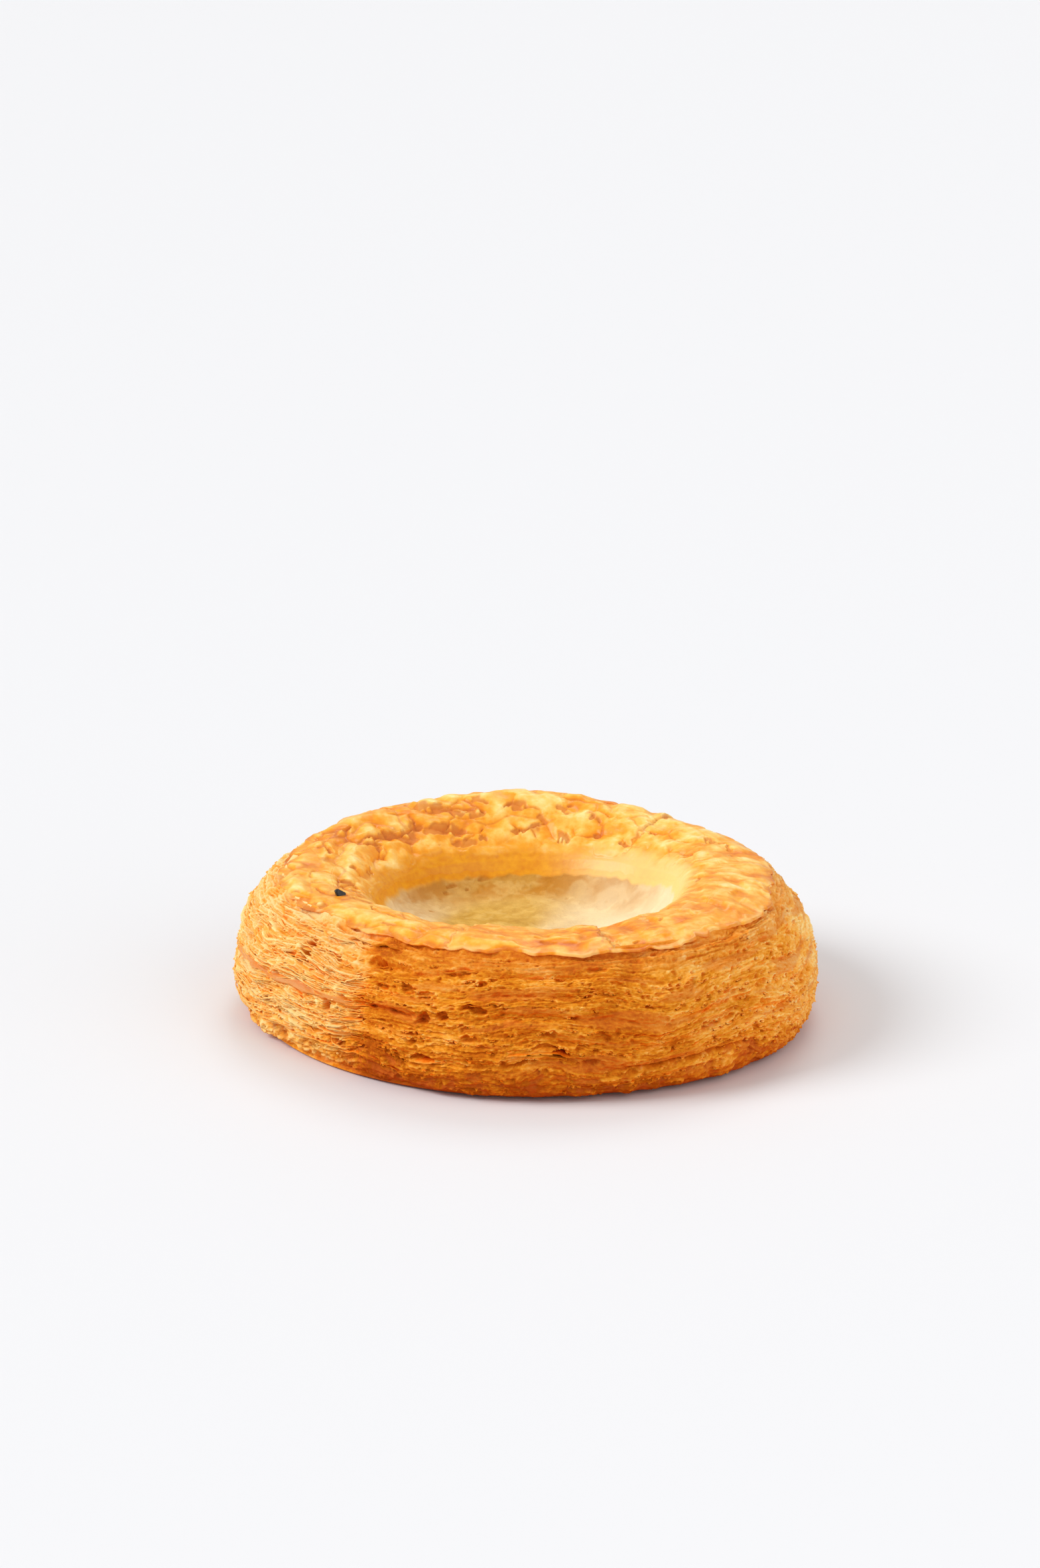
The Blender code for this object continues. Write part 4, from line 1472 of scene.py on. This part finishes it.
def layered_dough():
    """Torn layers of baked dough, from pale torn edges through golden to deep orange-brown hollows. The
    hollows' deeper orange is painted shade, rises are painted paler as a highlight, and the dough by the
    floor is painted darker as contact shade.
    """
    f = Finish("layered_dough")
    layers = f.layered_place()
    streaks = f.noise(0.8, 4.0, 0.6, stretch=(0.25, 0.25, 1.6), place=layers)
    fine = f.noise(0.4, 3.0, 0.6, stretch=(0.6, 0.6, 1.2), place=layers)
    blotches = f.noise(5.0, 3.0, 0.5, stretch=(0.6, 0.6, 1.8), place=layers)
    low = f.spread(f.attribute("level"), 10.0, 1.0, 0.0, 0.36)
    # Painted contact shade: the dough is darker for the last 2 mm above the floor, on top of the foot's own
    # darker bake
    painted_contact_shade = f.spread(f.attribute("level"), 1.8, 0.4, 0.0, 0.35)
    foot = f.sum(f.math("MULTIPLY", low, f.math("ADD", f.attribute("bake"), 0.3)), (1.0, painted_contact_shade))
    tone = f.sum(
        f.attribute("bake"),
        (0.8, f.around(streaks)),
        (0.9, f.around(blotches)),
        (0.6, f.around(fine)),
        # Painted shade: recesses darker
        (0.2, f.attribute("deep")),
        (-0.34, f.attribute("torn")),
        # Painted highlight: rises paler, low places darker
        (-0.3, f.around(f.attribute("high"))),
        (1.0, foot),
    )
    shade = f.ramp(tone, [
        (0.0, colour(255, 223, 152)),
        (0.2, colour(255, 202, 112)),
        (0.42, colour(250, 174, 70)),
        (0.62, colour(232, 145, 33)),
        (0.82, colour(208, 112, 18)),
        (1.0, colour(180, 86, 10)),
    ])
    # Painted shade: recesses are painted a saturated orange, for the light that bounces in them
    painted_recess_shade = f.mix(f.share("deep", 0.3), shade, colour(236, 136, 32))
    brown = f.mix(f.share("brown", 0.65), painted_recess_shade, colour(206, 98, 40))
    # Painted shade: faces that look down are multiplied to a deeper orange, for the shade under them and the
    # light through the dough
    under = f.mix(f.share("under", 0.9), brown, colour(255, 198, 116), "MULTIPLY")
    normal = f.bump(fine, 0.12)
    normal = f.bump(streaks, 0.18, normal)
    return f.finish(under, 0.6, normal, Specular_IOR_Level=0.03)


def glazed_crust():
    """Egg-washed crust, pale on its rises as a painted highlight, reddish in its gaps, and yellow towards the
    hollow's mouth. Its creases are darker, partly as painted shade.
    """
    f = Finish("glazed_crust")
    cloud = f.noise(4.5, 4.0, 0.55)
    small = f.noise(1.2, 3.0, 0.55)
    tone = f.sum(
        f.attribute("bake"),
        (0.9, f.around(cloud)),
        (0.4, f.around(small)),
        # Painted highlight: the crust is paler where it is high and darker where it is low
        (-0.55, f.around(f.attribute("high"))),
        (-0.2, f.attribute("droplet")),
    )
    bake = f.ramp(tone, [
        (0.05, colour(255, 225, 148)),
        (0.3, colour(255, 197, 92)),
        (0.5, colour(250, 168, 44)),
        (0.72, colour(238, 140, 20)),
        (0.95, colour(214, 108, 14)),
    ])
    edged = f.mix(f.share("torn", 0.5), bake, colour(255, 218, 134))
    # Reddish brown in the creases: partly the crust's own browning, partly painted shade at step feet and
    # between swells
    creased = f.mix(f.share("crease", 0.6), edged, colour(202, 108, 44))
    gap = f.mix(f.share("gap", 0.7), creased, colour(208, 118, 48))
    wavering = f.sum(f.attribute("way"), (0.4, f.around(cloud)))
    inner = f.mix(f.spread(wavering, 0.74, 1.0), gap, f.yellow_glaze())
    # Painted shade: faces that look down are multiplied to a deeper orange, for the shade under them and the
    # light through the dough
    under = f.mix(f.share("under", 0.8), inner, colour(255, 206, 130), "MULTIPLY")
    normal = f.bump(small, 0.06)
    return f.finish(under, f.spread(f.attribute("gap"), 0.0, 1.0, 0.34, 0.6), normal, Specular_IOR_Level=0.25)


def soft_dough():
    """The bare dough of the hollow: cream, floury in places, and stained golden brown on its far wall. The
    far wall's stain is partly painted shade, and its pale share partly painted light.
    """
    f = Finish("soft_dough")
    cloud = f.noise(3.0, 4.0, 0.6)
    small = f.noise(1.2, 3.0, 0.55)
    base = f.ramp(cloud, [
        (0.3, colour(190, 142, 52)),
        (0.5, colour(204, 157, 64)),
        (0.7, colour(220, 176, 84)),
    ])
    floury = f.mix(f.share("flour", 0.45), base, colour(238, 202, 122))
    # Partly painted light: the pale share brightens the hollow's lit right wall and its shaded left wall
    pale_and_painted_light = f.mix(f.share("pale", 0.85), floury, colour(255, 238, 200))
    # Partly painted shade: the far wall is darkened, with the dough's own brown patches
    stained = f.mix(f.share("stain_and_shade", 0.85), pale_and_painted_light, colour(188, 118, 14))
    pitted = f.mix(f.share("pit", 0.6), stained, colour(190, 118, 30))
    glazed = f.mix(f.attribute("glaze"), pitted, f.yellow_glaze())
    bare = f.spread(f.attribute("glaze"), 0.0, 1.0, 1.0, 0.0)
    normal = f.bump(f.math("MULTIPLY", f.noise(0.6, 3.0, 0.6), bare), 0.08)
    normal = f.bump(small, 0.06, normal)
    return f.finish(glazed, f.spread(bare, 0.0, 1.0, 0.4, 0.7), normal, Specular_IOR_Level=0.15)


def dry_seed():
    f = Finish("dark_seed")
    shade = f.ramp(f.noise(0.5, 2.0), [(0.3, colour(16, 15, 15)), (0.7, colour(44, 38, 34))])
    return f.finish(shade, 0.32, f.bump(f.noise(0.3), 0.05), Specular_IOR_Level=0.5)


# --------------------------------------------------------------------------------------------------
# The seed
# --------------------------------------------------------------------------------------------------

SEED_ANGLE = 202.6
SEED_REACH = 37.8
SEED_SIZE = (2.7, 2.1, 2.1)
SEED_RISE = 0.2
SEED_FACETS = 8
SEED_FACET_REACH = (0.24, 0.39)
SEED_TURN = (0.2, -0.15, 0.6)


def make_seed(material, crust):
    """The dark seed, an angular lump that lies on the crust."""
    turn = math.radians(SEED_ANGLE)
    place = Vector((SEED_REACH * math.cos(turn), SEED_REACH * math.sin(turn), 0.0))
    over = (place + AXIS) * MM + Vector((0, 0, 2 * RIM_HEIGHT * MM))
    _hit, top, _normal, _face = crust.ray_cast(over, Vector((0, 0, -1)))
    mesh = bmesh.new()
    bmesh.ops.create_icosphere(mesh, subdivisions=4, radius=0.5)
    draw = random.Random(12)
    for _ in range(SEED_FACETS):
        facet = Vector((draw.gauss(0, 1), draw.gauss(0, 1), draw.gauss(0, 1))).normalized()
        reach = draw.uniform(*SEED_FACET_REACH)
        for vertex in mesh.verts:
            vertex.co -= facet * max(0.0, vertex.co.dot(facet) - reach)
    bmesh.ops.scale(mesh, vec=SEED_SIZE, verts=mesh.verts)
    bmesh.ops.rotate(mesh, matrix=Euler(SEED_TURN).to_matrix(), verts=mesh.verts)
    bmesh.ops.translate(mesh, vec=place + (top.z / MM + SEED_RISE) * UP, verts=mesh.verts)
    bmesh.ops.recalc_face_normals(mesh, faces=mesh.faces)
    return finish_piece(mesh, "dark_seed", material)


# --------------------------------------------------------------------------------------------------
# The stage
# --------------------------------------------------------------------------------------------------

CAMERA_ELEVATION = 18.2
CAMERA_DISTANCE = 0.70
CAMERA_TARGET = Vector((0.0, 0.0, 0.012))
LENS = 84.75
SENSOR = 36.0
PHOTO_SIZE = (1568, 2364)
TARGET_PIXEL = (791, 1424)
FLOOR_SIZE = 12.0
SKY_STRENGTH = 0.48
# The lights: name, strength, spread, elevation, azimuth and tint
SUNS = [
    ("window_left", 2.0, 30, 38, 190, (1.0, 1.0, 1.0)),
    ("window_behind", 0.55, 26, 50, 80, (1.0, 1.0, 1.0)),
    ("overhead", 0.15, 60, 80, 270, (1.0, 1.0, 1.0)),
    ("reflector_right", 1.1, 70, 22, 328, (1.0, 0.93, 0.85)),
]


def make_floor():
    mesh = bmesh.new()
    bmesh.ops.create_grid(mesh, x_segments=2, y_segments=2, size=FLOOR_SIZE / 2)
    data = bpy.data.meshes.new("floor")
    mesh.to_mesh(data)
    mesh.free()
    material = bpy.data.materials.new("pale_floor")
    material.use_nodes = True
    shader = material.node_tree.nodes["Principled BSDF"]
    shader.inputs["Base Color"].default_value = colour(231, 232, 235)
    shader.inputs["Roughness"].default_value = 0.6
    shader.inputs["Specular IOR Level"].default_value = 0.1
    data.materials.append(material)
    floor = bpy.data.objects.new("floor", data)
    bpy.context.scene.collection.objects.link(floor)


def make_camera():
    """The photograph's view: the target shows a little below the middle of the tall frame."""
    data = bpy.data.cameras.new("camera")
    data.lens = LENS
    data.sensor_width = SENSOR
    focal = LENS / SENSOR * PHOTO_SIZE[1]
    up = math.atan((TARGET_PIXEL[1] - PHOTO_SIZE[1] / 2) / focal)
    left = math.atan((TARGET_PIXEL[0] - PHOTO_SIZE[0] / 2) / focal)
    elevation = math.radians(CAMERA_ELEVATION)
    camera = bpy.data.objects.new("camera", data)
    camera.location = CAMERA_TARGET + CAMERA_DISTANCE * Vector((0, -math.cos(elevation), math.sin(elevation)))
    camera.rotation_euler = (math.pi / 2 - elevation + up, 0.0, left)
    bpy.context.scene.collection.objects.link(camera)
    bpy.context.scene.camera = camera


def add_sun(name, strength, spread, elevation, azimuth, tint):
    """A broad soft light from a direction: azimuth is counted from +X towards +Y."""
    data = bpy.data.lights.new(name, "SUN")
    data.energy = strength
    data.angle = math.radians(spread)
    data.color = tint
    light = bpy.data.objects.new(name, data)
    up = math.radians(elevation)
    round_z = math.radians(azimuth)
    towards = Vector((math.cos(up) * math.cos(round_z), math.cos(up) * math.sin(round_z), math.sin(up)))
    light.rotation_euler = towards.to_track_quat("Z", "Y").to_euler()
    bpy.context.scene.collection.objects.link(light)


def light_scene():
    world = bpy.data.worlds.new("soft_daylight")
    world.use_nodes = True
    background = world.node_tree.nodes["Background"]
    background.inputs["Color"].default_value = (1.0, 1.0, 1.0, 1.0)
    background.inputs["Strength"].default_value = SKY_STRENGTH
    bpy.context.scene.world = world
    for sun in SUNS:
        add_sun(*sun)
    bpy.context.scene.view_settings.view_transform = "Standard"


def build():
    make_floor()
    make_camera()
    light_scene()
    dough = layered_dough()
    for name, low, high in WALL_LAYERS:
        make_wall_layer(name, low, high, dough)
    make_sheets(dough)
    make_strands(dough)
    make_flakes(dough)
    make_crumbs(dough)
    make_hollow(soft_dough())
    glaze = glazed_crust()
    parts = [make_crust(name, start, end, glaze) for name, start, end in CRUST_PARTS]
    bpy.context.view_layer.update()
    make_seed(dry_seed(), parts[0])


build()
